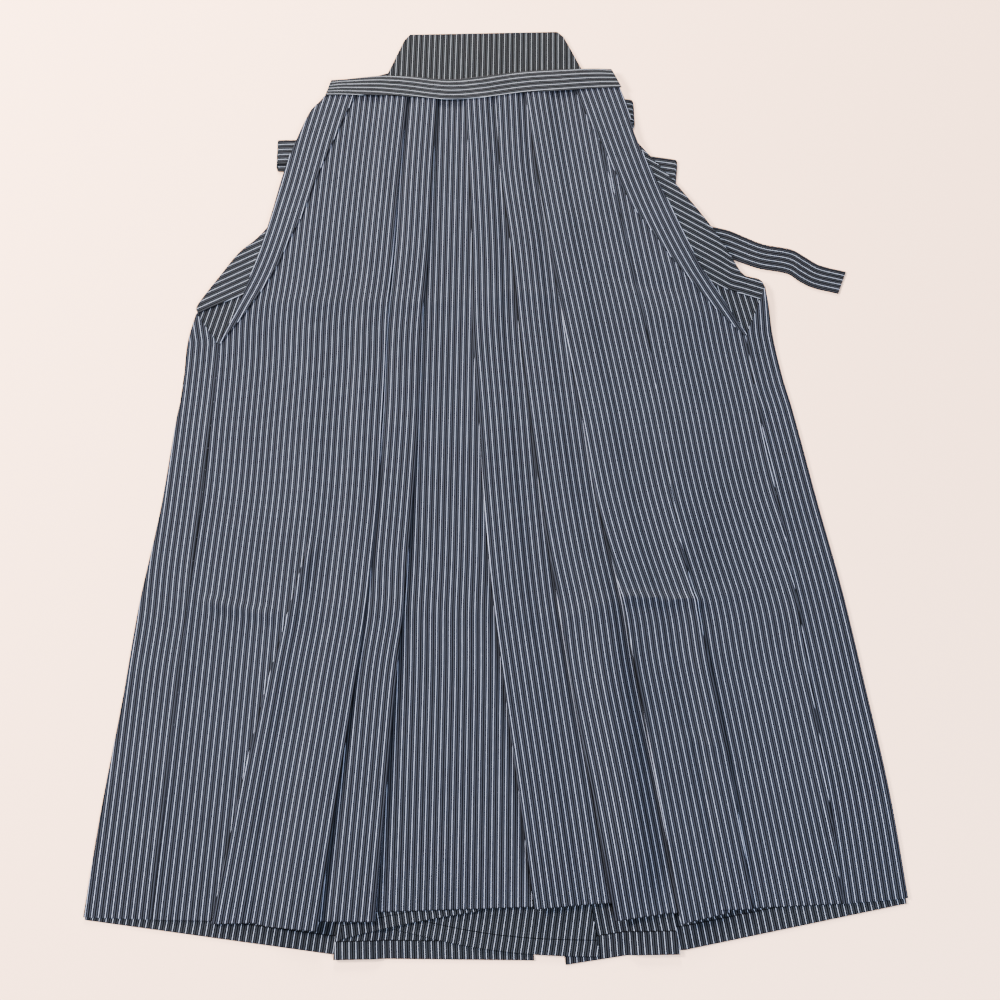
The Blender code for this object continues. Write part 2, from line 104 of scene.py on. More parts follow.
# How far below the middle a pleat's loft and the dip beside it start and are full.
LOFT_GROWS = (-60.0, 250.0)
DIP_DEEPENS = (-60.0, 200.0)
DIP_FADES = -430.0
RELIEF_FADES = (-478.0, -425.0)


class Held(Enum):
    """How a sheet of cloth lies."""

    LAID = "laid"
    FOLDED = "folded"
    STRETCHED = "stretched"


class Side(Enum):
    """A side of the garment as it lies, seen from the front."""

    LEFT = -1
    RIGHT = 1

    @property
    def word(self) -> str:
        """The side's name in tables and pieces."""
        return self.name.lower()


def mix(a: Array, b: Array, share: Array) -> Array:
    """The value a share of the way from a to b."""
    return a + (b - a) * share


def smooth_share(value: Array, start: float, end: float) -> Array:
    """How far value has gone from start to end, from 0 to 1, easing in and out."""
    share = np.clip((value - start) / (end - start), 0.0, 1.0)
    return share * share * (3.0 - 2.0 * share)


def wander(where: Array, length: float, seed: float) -> Array:
    """A slow uneven wave between about -1 and 1.

    Args:
        where: Places along the line.
        length: The longest wave.
        seed: Moves the pattern.

    Returns:
        The height of the wave at each place.
    """
    turn = 2.0 * math.pi * np.asarray(where, float) / length
    return (
        0.5 * np.sin(turn + 1.7 * seed)
        + 0.3 * np.sin(2.3 * turn + 2.9 * seed + 1.0)
        + 0.2 * np.sin(4.1 * turn + 0.7 * seed + 2.0)
    )


@dataclass(frozen=True)
class SmoothLine:
    """A smooth line through given values, straight past its ends."""

    at: tuple[float, ...]
    values: tuple[float, ...]

    def __call__(self, where: Array) -> Array:
        """The line's value.

        Args:
            where: Places along the line.

        Returns:
            The value at each place.
        """
        order = np.argsort(self.at)
        xs = np.asarray(self.at, float)[order]
        ys = np.asarray(self.values, float)[order]
        high = np.minimum(np.arange(len(xs)) + 1, len(xs) - 1)
        low = np.maximum(np.arange(len(xs)) - 1, 0)
        slopes = (ys[high] - ys[low]) / (xs[high] - xs[low])
        x = np.asarray(where, float)
        i = np.clip(np.searchsorted(xs, x) - 1, 0, len(xs) - 2)
        step = xs[i + 1] - xs[i]
        t = (x - xs[i]) / step
        inside = (
            (2 * t**3 - 3 * t**2 + 1) * ys[i]
            + (3 * t**2 - 2 * t**3) * ys[i + 1]
            + step * ((t**3 - 2 * t**2 + t) * slopes[i] + (t**3 - t**2) * slopes[i + 1])
        )
        before = ys[0] + slopes[0] * (x - xs[0])
        after = ys[-1] + slopes[-1] * (x - xs[-1])
        return np.where(x < xs[0], before, np.where(x > xs[-1], after, inside))


@dataclass(frozen=True)
class Table:
    """A short table of lines, a row for each height or step, in millimetres."""

    columns: tuple[str, ...]
    rows: tuple[tuple[float, ...], ...]

    def column(self, name: str) -> tuple[float, ...]:
        """The values of one named column."""
        place = self.columns.index(name)
        return tuple(row[place] for row in self.rows)

    def line(self, name: str) -> SmoothLine:
        """One named line, as a function of the height y."""
        return SmoothLine(self.column("y"), self.column(name))

    def along(self, name: str) -> SmoothLine:
        """One named line, as a function of the share of the way through the rows."""
        values = self.column(name)
        return SmoothLine(tuple(np.linspace(0.0, 1.0, len(values))), values)


FRONT_PLEATS = Table(
    ("y", "left_second", "left_first", "right_first", "right_second", "right_third"),
    (
        (452, -95, -59, -25, 10, 45),
        (430, -96, -60, -25, 11, 46),
        (330, -104, -66, -22, 14, 56),
        (230, -111, -71, -20, 24, 68),
        (130, -117, -79, -20, 31, 82),
        (30, -121, -82, -15, 40, 96),
        (-70, -125, -88, -10, 50, 109),
        (-170, -134, -96, -3, 63, 128),
        (-270, -147, -105, 8, 76, 143),
        (-370, -161, -113, 20, 92, 156),
        (-490, -177, -123, 33, 109, 171),
    ),
)

FRONT_TURNS = Table(
    ("y", "left_turn", "right_turn"),
    (
        (452, -150, 110),
        (330, -170, 135),
        (230, -178, 155),
        (130, -182, 169),
        (30, -183, 178),
        (-70, -187, 187),
        (-170, -211, 202),
        (-270, -237, 219),
        (-370, -258, 230),
        (-490, -279, 241),
    ),
)

SIDE_FOLDS = Table(
    ("y", "left_inner", "left_outer", "right_inner", "right_outer"),
    (
        (446, -153, -186, 102, 155),
        (427, -160, -199, 107, 161),
        (414, -166, -210, 111, 165),
        (373, -182, -226, 128, 172),
        (331, -198, -239, 144, 187),
        (282, -213, -250, 163, 207),
        (245, -229, -259, 186, 221),
        (205, -245, -270, 210, 236),
        (157, -274, -286, 244, 261),
        (118, -303, -305, 279, 283),
    ),
)

SIDE_PANELS = Table(
    ("y", "left_seam", "left_side", "right_seam", "right_side"),
    (
        (176, -304, -324, 283, 308),
        (154, -304, -331, 283, 310),
        (118, -304, -339, 283, 312),
        (66, -306, -341, 287, 319),
        (30, -308, -346, 290, 326),
        (-70, -314, -356, 301, 342),
        (-170, -321, -371, 311, 359),
        (-270, -326, -381, 318, 372),
        (-370, -331, -393, 324, 384),
        (-480, -337, -403, 328, 391),
    ),
)

BACK_LINES = Table(
    ("y", "left_outer", "left_fold", "left_inner", "right_inner", "right_fold", "right_outer"),
    (
        (424, -137, -66, -3, -3, 60, 134),
        (345, -199, -72, -3, -3, 66, 188),
        (260, -256, -80, -3, -3, 74, 247),
        (204, -303, -86, -3, -3, 81, 278),
        (163, -329, -91, -3, -3, 87, 303),
        (154, -331, -92, -3, -3, 88, 309),
        (118, -338, -97, -3, -3, 93, 311),
        (30, -345, -107, -1, 1, 103, 325),
        (-70, -355, -118, 3, 8, 115, 341),
        (-170, -370, -128, 9, 18, 127, 358),
        (-270, -380, -138, 15, 30, 139, 371),
        (-370, -392, -148, 22, 44, 152, 383),
        (-522, -405, -161, 30, 59, 168, 391),
    ),
)

EDGE_COLUMNS = ("outer_x", "outer_y", "inner_x", "inner_y")
LEFT_FACING = Table(
    EDGE_COLUMNS,
    (
        (-140, 421, -104, 421),
        (-200, 345, -150, 332),
        (-257, 260, -206, 245),
        (-286, 231, -232, 220),
        (-305, 204, -250, 203),
        (-324, 176, -261, 190),
        (-331, 163, -267, 184.5),
        (-329, 156.5, -273, 181.5),
    ),
)
RIGHT_FACING = Table(
    EDGE_COLUMNS,
    (
        (136, 421, 100, 421),
        (171, 370, 120, 352),
        (219, 305, 165, 285),
        (255, 250, 200, 234),
        (274, 212, 222, 214),
        (283, 194, 228, 208),
        (291, 187, 232, 204),
        (300, 186, 235, 200.5),
        (306, 181, 238, 196),
        (307.5, 172, 241, 190),
        (301, 160, 244, 182),
    ),
)
LEFT_INNER_LEG = Table(
    EDGE_COLUMNS,
    (
        (-104, -60, -60, -60),
        (-118, -180, -48, -180),
        (-132, -300, -36, -300),
        (-146, -420, -26, -420),
        (-155, -497, -22, -474),
    ),
)
RIGHT_INNER_LEG = Table(
    EDGE_COLUMNS,
    (
        (-68, -60, 24, -60),
        (-78, -180, 44, -180),
        (-88, -300, 62, -300),
        (-98, -410, 80, -430),
        (-108, -488, 92, -517),
    ),
)

WAISTBAND = Table(
    ("top_x", "top_y", "bottom_x", "bottom_y"),
    (
        (-186, 456, -193, 434),
        (-167, 457, -170, 434),
        (-129, 460, -130, 432),
        (-90, 458, -92, 429),
        (-47, 453, -47, 424.5),
        (-9, 456, -9, 426),
        (39, 462, 42, 431.5),
        (87, 464, 88, 433.5),
        (123, 465, 126, 436.5),
        (148.5, 464, 159.5, 437.3),
    ),
)
BAND_STRIPES = Table(
    ("x", "pitch", "start"),
    (
        (-150, 5.0, 1.0),
        (-110, 5.9, 0.55),
        (-50, 6.0, 0.0),
        (20, 6.4, 0.1),
        (85, 6.3, 0.4),
        (140, 6.0, 0.4),
    ),
)
BAND_PROFILE = Table(
    ("up", "raised"),
    (
        (0.0, 1.0),
        (0.35, 1.0),
        (0.7, 1.0),
        (0.93, 0.8),
        (1.0, 0.5),
        (0.93, 0.15),
        (0.7, 0.0),
        (0.08, 0.0),
    ),
)
BAND_BACK_Z = 4.4
BAND_TOP_Z = 9.6
BAND_END_Z = 8.3
BAND_CENTRE_X = -20.0
BAND_FLAT_HALF, BAND_END_HALF = 100.0, 150.0

BOARD_SIDES = Table(
    ("y", "left", "right"),
    (
        (424.3, -136, 130),
        (462, -122, 116.5),
        (514, -100, 94),
        (522, -93, 86),
    ),
)
BOARD_THICKNESS = 3.6
BOARD_EDGE = 1.6

TIE_COLUMNS = ("top_x", "top_y", "bottom_x", "bottom_y", "z")
LOW, HIGH = 0.5, 0.5 + PLY
LEFT_BACK_TIE = Table(
    TIE_COLUMNS,
    (
        (-119.8, 469, -130.3, 441, LOW),
        (-140, 462, -149, 433, LOW),
        (-184, 436, -194, 408, LOW),
    ),
)
LEFT_FRONT_TIE = Table(
    TIE_COLUMNS,
    (
        (-178, 374, -178, 343, LOW),
        (-246, 369, -246, 337, LOW),
        (-248.2, 373, -248.2, 341, (LOW + HIGH) / 2),
        (-247, 378, -247, 346, HIGH),
        (-160, 375, -160, 343, HIGH),
        (150, 352, 146, 320, HIGH),
        (218, 342, 214, 310, HIGH),
        (220.2, 338, 216.2, 306, (LOW + HIGH) / 2),
        (218, 334, 214, 302, LOW),
        (158, 338, 154, 306, LOW),
    ),
)
RIGHT_FRONT_TIE = Table(
    TIE_COLUMNS,
    (
        (137, 412, 137, 386, LOW),
        (171, 412, 171, 386, LOW),
        (173.2, 418, 173.2, 391, (LOW + HIGH) / 2),
        (171, 424, 171, 396, HIGH),
        (136, 427, 136, 399, HIGH),
    ),
)
RIGHT_BACK_TIE = Table(
    TIE_COLUMNS,
    (
        (188, 274, 180, 244, HIGH),
        (222, 264, 213, 234, HIGH),
        (255, 254, 246, 222, (LOW + HIGH) / 2),
        (274, 249, 264, 217, LOW),
        (311, 231, 302, 201, LOW),
        (344, 223, 336, 193, LOW),
        (360, 212, 349, 183, LOW),
        (373, 203, 363, 175, LOW),
        (402.5, 194, 391, 167, LOW),
    ),
)


# Creases from storage, which push the threads a little.
UPPER_STORAGE_CREASE = 150.0
LOWER_STORAGE_CREASE = -185.0
STORAGE_REACH = 40.0


@dataclass(frozen=True)
class Stray:
    """How far a panel's threads stray to the right of its grain, in millimetres.

    They lean evenly from the hem to the waist, and each crease from storage pushes them a little.
    """

    waist: float = 0.0
    hem: float = 0.0
    upper_push: float = 0.0
    lower_push: float = 0.0

    def __call__(self, y: Array) -> Array:
        """The stray at each height."""
        lean = mix(self.hem, self.waist, (np.asarray(y, float) - HEM_Y) / (WAIST_Y - HEM_Y))
        upper = self.upper_push * np.exp(-(((y - UPPER_STORAGE_CREASE) / STORAGE_REACH) ** 2))
        lower = self.lower_push * np.exp(-(((y - LOWER_STORAGE_CREASE) / STORAGE_REACH) ** 2))
        return lean + upper + lower


LEFT_SIDE_STRAY = Stray(1.0, 1.0, 0.0, 2.0)
LEFT_OUTER_STRAY = Stray(2.0, -4.0, -2.0, 0.0)
LEFT_SECOND_STRAY = Stray(2.0, -4.0, -2.0, 1.0)
LEFT_FIRST_STRAY = Stray(3.0, 1.0, 0.0, 3.0)
CENTRE_STRAY = Stray(0.0, -4.0, 0.0, -1.0)
RIGHT_FIRST_STRAY = Stray(-5.0, 3.0, 0.0, 0.0)
RIGHT_SECOND_STRAY = Stray(-4.0, -2.0, 0.0, 2.0)
RIGHT_THIRD_STRAY = Stray(-5.0, 8.0, 0.0, 4.0)
RIGHT_OUTER_STRAY = Stray(-1.0, 3.0, 1.0, 3.0)
RIGHT_SIDE_STRAY = Stray(2.0, 1.0, 0.0, 0.0)


@dataclass(frozen=True)
class Crease:
    """A soft ridge or trough laid into the cloth along a straight line."""

    start: tuple[float, float]
    end: tuple[float, float]
    height: float
    width: float
    fade: float = 30.0

    def lift(self, x: Array, y: Array) -> Array:
        """Height that the crease adds.

        Args:
            x: Places across the garment.
            y: Places along it.

        Returns:
            Millimetres up at each place.
        """
        run = np.subtract(self.end, self.start)
        length = float(np.hypot(*run))
        ahead = run / length
        dx, dy = x - self.start[0], y - self.start[1]
        along = dx * ahead[0] + dy * ahead[1]
        off = -dx * ahead[1] + dy * ahead[0]
        ends = smooth_share(along, -self.fade, self.fade)
        ends = ends * (1.0 - smooth_share(along, length - self.fade, length + self.fade))
        ridge = 1.0 / (1.0 + np.abs(off / self.width) ** 3)
        return self.height * ends * ridge


FRONT_CREASES = (
    Crease((-262.0, 166.0), (-60.0, 164.0), 1.5, 8.0),
    Crease((-70.0, 164.0), (30.0, 170.0), 1.0, 8.0),
    Crease((-303.0, -169.0), (-229.0, -185.0), 3.6, 5.5, 10.0),
    Crease((-229.0, -183.0), (-90.0, -181.0), 1.0, 9.0),
    Crease((-90.0, -181.0), (70.0, -195.0), 0.9, 9.0),
    Crease((70.0, -195.0), (129.0, -176.0), 1.6, 8.0, 10.0),
    Crease((129.0, -174.0), (213.0, -179.0), 4.8, 4.5, 4.0),
    Crease((213.0, -180.0), (274.0, -166.0), 1.2, 7.0, 10.0),
    Crease((129.0, 202.0), (150.0, 184.0), -1.6, 6.0, 5.0),
    Crease((150.0, 184.0), (212.0, 173.0), -1.6, 6.0, 6.0),
    Crease((150.0, 146.0), (236.0, 138.0), 1.3, 12.0, 15.0),
    Crease((10.0, 176.0), (77.0, 166.0), 1.6, 6.0, 6.0),
    Crease((81.0, 272.0), (150.0, 249.0), 1.0, 6.0, 10.0),
    Crease((194.0, 205.0), (235.0, 177.0), 1.2, 6.0, 8.0),
    Crease((184.0, -316.0), (219.0, -327.0), 1.8, 6.0, 6.0),
    Crease((219.0, -327.0), (238.0, -342.0), 1.0, 6.0, 6.0),
    Crease((108.0, -160.0), (135.0, -500.0), 8.5, 20.0, 90.0),
    Crease((-207.0, 322.0), (-201.0, 50.0), 1.0, 6.0, 30.0),
    Crease((-201.0, 50.0), (-198.0, -170.0), 1.0, 6.0, 30.0),
    Crease((170.0, 125.0), (209.0, -188.0), 0.9, 5.0, 20.0),
    Crease((-305.0, 100.0), (-314.0, -70.0), 1.2, 5.0, 10.0),
    Crease((-314.0, -70.0), (-337.0, -470.0), 1.2, 5.0, 10.0),
    Crease((284.0, 110.0), (301.0, -70.0), 1.2, 5.0, 10.0),
    Crease((301.0, -70.0), (328.0, -470.0), 1.2, 5.0, 10.0),
)


def hip_share(y: Array) -> Array:
    """0 on the legs and 1 on the hips, where everything lies on the folded ties."""
    return smooth_share(y, HIP_START, HIP_END)


def back_base(y: Array) -> Array:
    """Underside of the back: on the ground along the legs, on the ties at the hips."""
    return TIE_LAYERS * hip_share(y)


def front_base(x: Array, y: Array) -> Array:
    """Underside of the front's lowest ply, which comes down at the sides of the legs."""
    drop = smooth_share(np.abs(x), SIDE_DROP_START, SIDE_DROP_END) * (1.0 - hip_share(y))
    return FRONT_BASE - (FRONT_BASE - SIDE_BASE) * drop


def front_relief(x: Array, y: Array) -> Array:
    """Creases and slow waves of the front, shared by all its plies.

    Args:
        x: Places across the garment.
        y: Places along it.

    Returns:
        Millimetres up at each place.
    """
    waves = 0.35 * wander(x + 0.35 * y, 170.0, 1.0) * wander(y - 0.2 * x, 260.0, 2.0)
    lifted = waves + sum(crease.lift(x, y) for crease in FRONT_CREASES)
    rim = smooth_share(y, *RELIEF_FADES) * smooth_share(WAIST_Y - y, 0.0, 40.0)
    return lifted * rim


def middle(base: Array, lift: Array) -> Array:
    """Height of the middle of the cloth that lies a lift above a base."""
    return base + lift + WALL / 2


def pleat_depth(y: Array) -> Array:
    """How deep a front pleat is folded under at a height."""
    share = (WAIST_Y - y) / (WAIST_Y - HEM_Y)
    return mix(PLEAT_DEPTH_WAIST, PLEAT_DEPTH_HEM, share)


def waist_height(x: Array) -> Array:
    """Top edge of the front, inside the waistband."""
    return WAIST_Y + WAIST_SLOPE * x


@dataclass(frozen=True)
class Grain:
    """The run of the threads in one panel.

    The threads run along a line, and are counted in millimetres across them from it.
    """

    line: Line
    phase: float = 0.0

    def __call__(self, x: Array, y: Array) -> Array:
        """Millimetres across the threads at each place, growing with x."""
        slope = (self.line(y + 1.0) - self.line(y - 1.0)) / 2.0
        return self.phase + (x - self.line(y)) / np.sqrt(1.0 + slope**2)


def leaning(x: float, y: float, lean: float) -> Line:
    """A straight thread line through a point.

    Args:
        x: The point's place across.
        y: The point's place along.
        lean: Degrees that its upper end leans to the right.

    Returns:
        The line's x as a function of y.
    """
    slope = math.tan(math.radians(lean))
    return lambda where: x + slope * (np.asarray(where, float) - y)


@dataclass(frozen=True)
class LeaningGrain:
    """Threads that run straight past a point, with their upper ends leaning to the right."""

    x: float
    y: float
    lean: float
    phase: float = 0.0

    def __call__(self, x: Array, y: Array) -> Array:
        """Millimetres across the threads at each place, growing with x."""
        turn = math.radians(self.lean)
        return self.phase + (x - self.x) * math.cos(turn) - (y - self.y) * math.sin(turn)

    def counted_on(self, neighbour: Field) -> "LeaningGrain":
        """The same grain with its threads counted on from a neighbour at its point."""
        return replace(self, phase=float(neighbour(np.array(self.x), np.array(self.y))))


RIGHT_FACING_GRAIN = LeaningGrain(236.0, 247.0, -57.0)


@dataclass(frozen=True)
class ChangingGrain:
    """Threads that change from one grain to another, down a piece or across it."""

    upper: Field
    lower: Field
    start: float = 60.0
    end: float = -420.0
    across: bool = False

    def __call__(self, x: Array, y: Array) -> Array:
        """Millimetres across the threads at each place."""
        where = -x if self.across else y
        share = 1.0 - smooth_share(where, self.end, self.start)
        return mix(self.upper(x, y), self.lower(x, y), share)


@dataclass(frozen=True)
class StrayGrain:
    """A panel's grain with the small sideways stray of its threads."""

    base: Field
    stray: Stray

    def __call__(self, x: Array, y: Array) -> Array:
        """Millimetres across the threads at each place."""
        return self.base(x, y) - self.stray(y)


@dataclass
class Rail:
    """One line of a cloth from its top to its hem, as arrays down its length."""

    y: Array
    x: Array
    lift: Array
    thread: Array


def spread(first: Rail, last: Rail, count: int, eased: bool = False) -> list[Rail]:
    """Rails evenly between two others.

    Args:
        first: The rail before them.
        last: The rail after them.
        count: How many lie between.
        eased: Whether the height eases in and out.

    Returns:
        The rails between, without the two ends.
    """
    rails = []
    for share in np.linspace(0.0, 1.0, count + 2)[1:-1]:
        height = share * share * (3.0 - 2.0 * share) if eased else share
        rails.append(
            Rail(
                mix(first.y, last.y, share),
                mix(first.x, last.x, share),
                mix(first.lift, last.lift, height),
                mix(first.thread, last.thread, share),
            )
        )
    return rails


def columns_between(first: Rail, last: Rail) -> int:
    """How many rails fill the space between two."""
    width = float(np.max(np.abs(first.x - last.x)))
    return max(int(round(width / COLUMN_WIDTH)) - 1, 1)


@dataclass
class Sheet:
    """A closed shell of thin cloth around rows of points on its middle surface."""

    name: str
    points: Array
    threads: Array
    across: tuple[float, float] = (1.0, 0.0)
    thickness: float = CLOTH
    # Darkening of each point: dark stitches, and painted shadow along hem edges.
    stitch_shade: Array | None = None

    def normals(self) -> Array:
        """The mitred normal of each point, in the plane of its row."""
        step = np.diff(self.points, axis=1)
        run = step[..., 0] * self.across[0] + step[..., 1] * self.across[1]
        rise = step[..., 2]
        length = np.maximum(np.hypot(run, rise), 1e-9)
        unit = np.stack([-rise / length, run / length], axis=-1)
        before = np.concatenate([unit[:, :1], unit], axis=1)
        after = np.concatenate([unit, unit[:, -1:]], axis=1)
        bend = np.maximum(np.sum(before * after, axis=-1, keepdims=True), -0.6)
        mitre = (before + after) / (1.0 + bend)
        flat = mitre[..., :1] * np.asarray(self.across)
        return np.concatenate([flat, mitre[..., 1:]], axis=-1)

    def cut(self) -> tuple[float, float, float]:
        """Width, length and area of the cloth laid out flat, in metres."""
        across = np.linalg.norm(np.diff(self.points, axis=1), axis=-1)
        along = np.linalg.norm(np.diff(self.points, axis=0), axis=-1)
        width = float(across.sum(axis=1).max()) * MM
        length = float(along.sum(axis=0).max()) * MM
        area = float(np.sum((across[1:] + across[:-1]) / 2 * (along[:, 1:] + along[:, :-1]) / 2))
        return width, length, min(area * MM * MM, width * length)

    def build(self, finish: bpy.types.Material) -> bpy.types.Object:
        """Writes the shell as a mesh object.

        Args:
            finish: Its material.

        Returns:
            The new object.
        """
        offset = self.normals() * self.thickness / 2
        stitch_shade = None if self.stitch_shade is None else np.repeat(self.stitch_shade, self.points.shape[1])
        return closed_pair(
            self.name, self.points + offset, self.points - offset, self.threads, finish, stitch_shade
        )


def closed_pair(
    name: str,
    upper: Array,
    lower: Array,
    threads: Array,
    finish: bpy.types.Material,
    stitch_shade: Array | None = None,
) -> bpy.types.Object:
    """A closed body between an upper and a lower grid of points.

    Args:
        name: The piece's name.
        upper: Rows of points of the upper face, in millimetres.
        lower: Rows of points of the lower face.
        threads: Place on the threads at each point.
        finish: Its material.
        stitch_shade: 1 at each point that is darkened, on a row of stitches or at a hem's edge as painted
            shadow, else 0; none if nothing is darkened.

    Returns:
        The new object.
    """
    rows, columns = upper.shape[:2]
    top = np.arange(rows * columns).reshape(rows, columns)
    low = top + rows * columns
    faces = [
        np.stack([top[:-1, :-1], top[:-1, 1:], top[1:, 1:], top[1:, :-1]], -1),
        np.stack([low[1:, :-1], low[1:, 1:], low[:-1, 1:], low[:-1, :-1]], -1),
    ]
    for rim_top, rim_low in (
        (top[0], low[0]),
        (top[-1], low[-1]),
        (top[:, 0], low[:, 0]),
        (top[:, -1], low[:, -1]),
    ):
        faces.append(np.stack([rim_top[:-1], rim_low[:-1], rim_low[1:], rim_top[1:]], -1))
    quads = np.concatenate([face.reshape(-1, 4) for face in faces])
    vertices = np.concatenate([upper.reshape(-1, 3), lower.reshape(-1, 3)]) * MM
    doubled = None if stitch_shade is None else np.tile(stitch_shade, 2)
    threads = np.tile(threads.reshape(-1, 2), (2, 1))
    return mesh_object(name, vertices, quads, threads, finish, doubled)


def mesh_object(
    name: str,
    vertices: Array,
    quads: Array,
    threads: Array,
    finish: bpy.types.Material,
    stitch_shade: Array | None = None,
) -> bpy.types.Object:
    """Makes an object with smooth faces and a map of its threads.

    Args:
        name: The piece's name.
        vertices: Points in metres.
        quads: Four vertex numbers for each face.
        threads: Millimetres across and along the threads at each vertex.
        finish: Its material.
        stitch_shade: 1 at each vertex that is darkened, on a row of stitches or at a hem's edge as painted
            shadow, else 0; none if nothing is darkened.

    Returns:
        The new object.
    """
    mesh = bpy.data.meshes.new(name)
    mesh.from_pydata(vertices.tolist(), [], quads.tolist())
    corners = np.empty(len(mesh.loops), np.int32)
    mesh.loops.foreach_get("vertex_index", corners)
    layer = mesh.uv_layers.new(name=THREAD_MAP)
    layer.uv.foreach_set("vector", threads[corners].astype(np.float32).ravel())
    # The stitches and the painted shadow at hem edges go into a map of their own.
    stitch_shade_marks = np.zeros(len(vertices)) if stitch_shade is None else stitch_shade
    layer = mesh.uv_layers.new(name=STITCH_SHADE_MAP)
    layer.uv.foreach_set("vector", np.repeat(stitch_shade_marks[corners].astype(np.float32), 2))
    model = bmesh.new()
    model.from_mesh(mesh)
    bmesh.ops.recalc_face_normals(model, faces=model.faces)
    model.to_mesh(mesh)
    model.free()
    mesh.materials.append(finish)
    mesh.shade_smooth()
    mesh.set_sharp_from_angle(angle=math.radians(50))
    item = bpy.data.objects.new(name, mesh)
    bpy.context.scene.collection.objects.link(item)
    return item


def settle(
    item: bpy.types.Object,
    node: str,
    cut: tuple[float, float, float],
    held: Held,
    rests_on: Sequence[str],
) -> bpy.types.Object:
    """Parents a cloth piece to the root body, hides the solid it stands for and logs its cut.

    Args:
        item: The piece.
        node: The solid it stands for.
        cut: Width, length and area of the flat cloth, in metres.
        held: How it lies; not used.
        rests_on: What it lies on; not used.

    Returns:
        The same piece.
    """
    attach(item, ROOT_BODY)
    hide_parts(node)
    width, length, area = cut
    list(rests_on)
    log.info(
        "%s: %d faces, flat %.0f x %.0f mm, %.4f m2",
        item.name,
        len(item.data.polygons),
        width / MM,
        length / MM,
        area,
    )
    return item


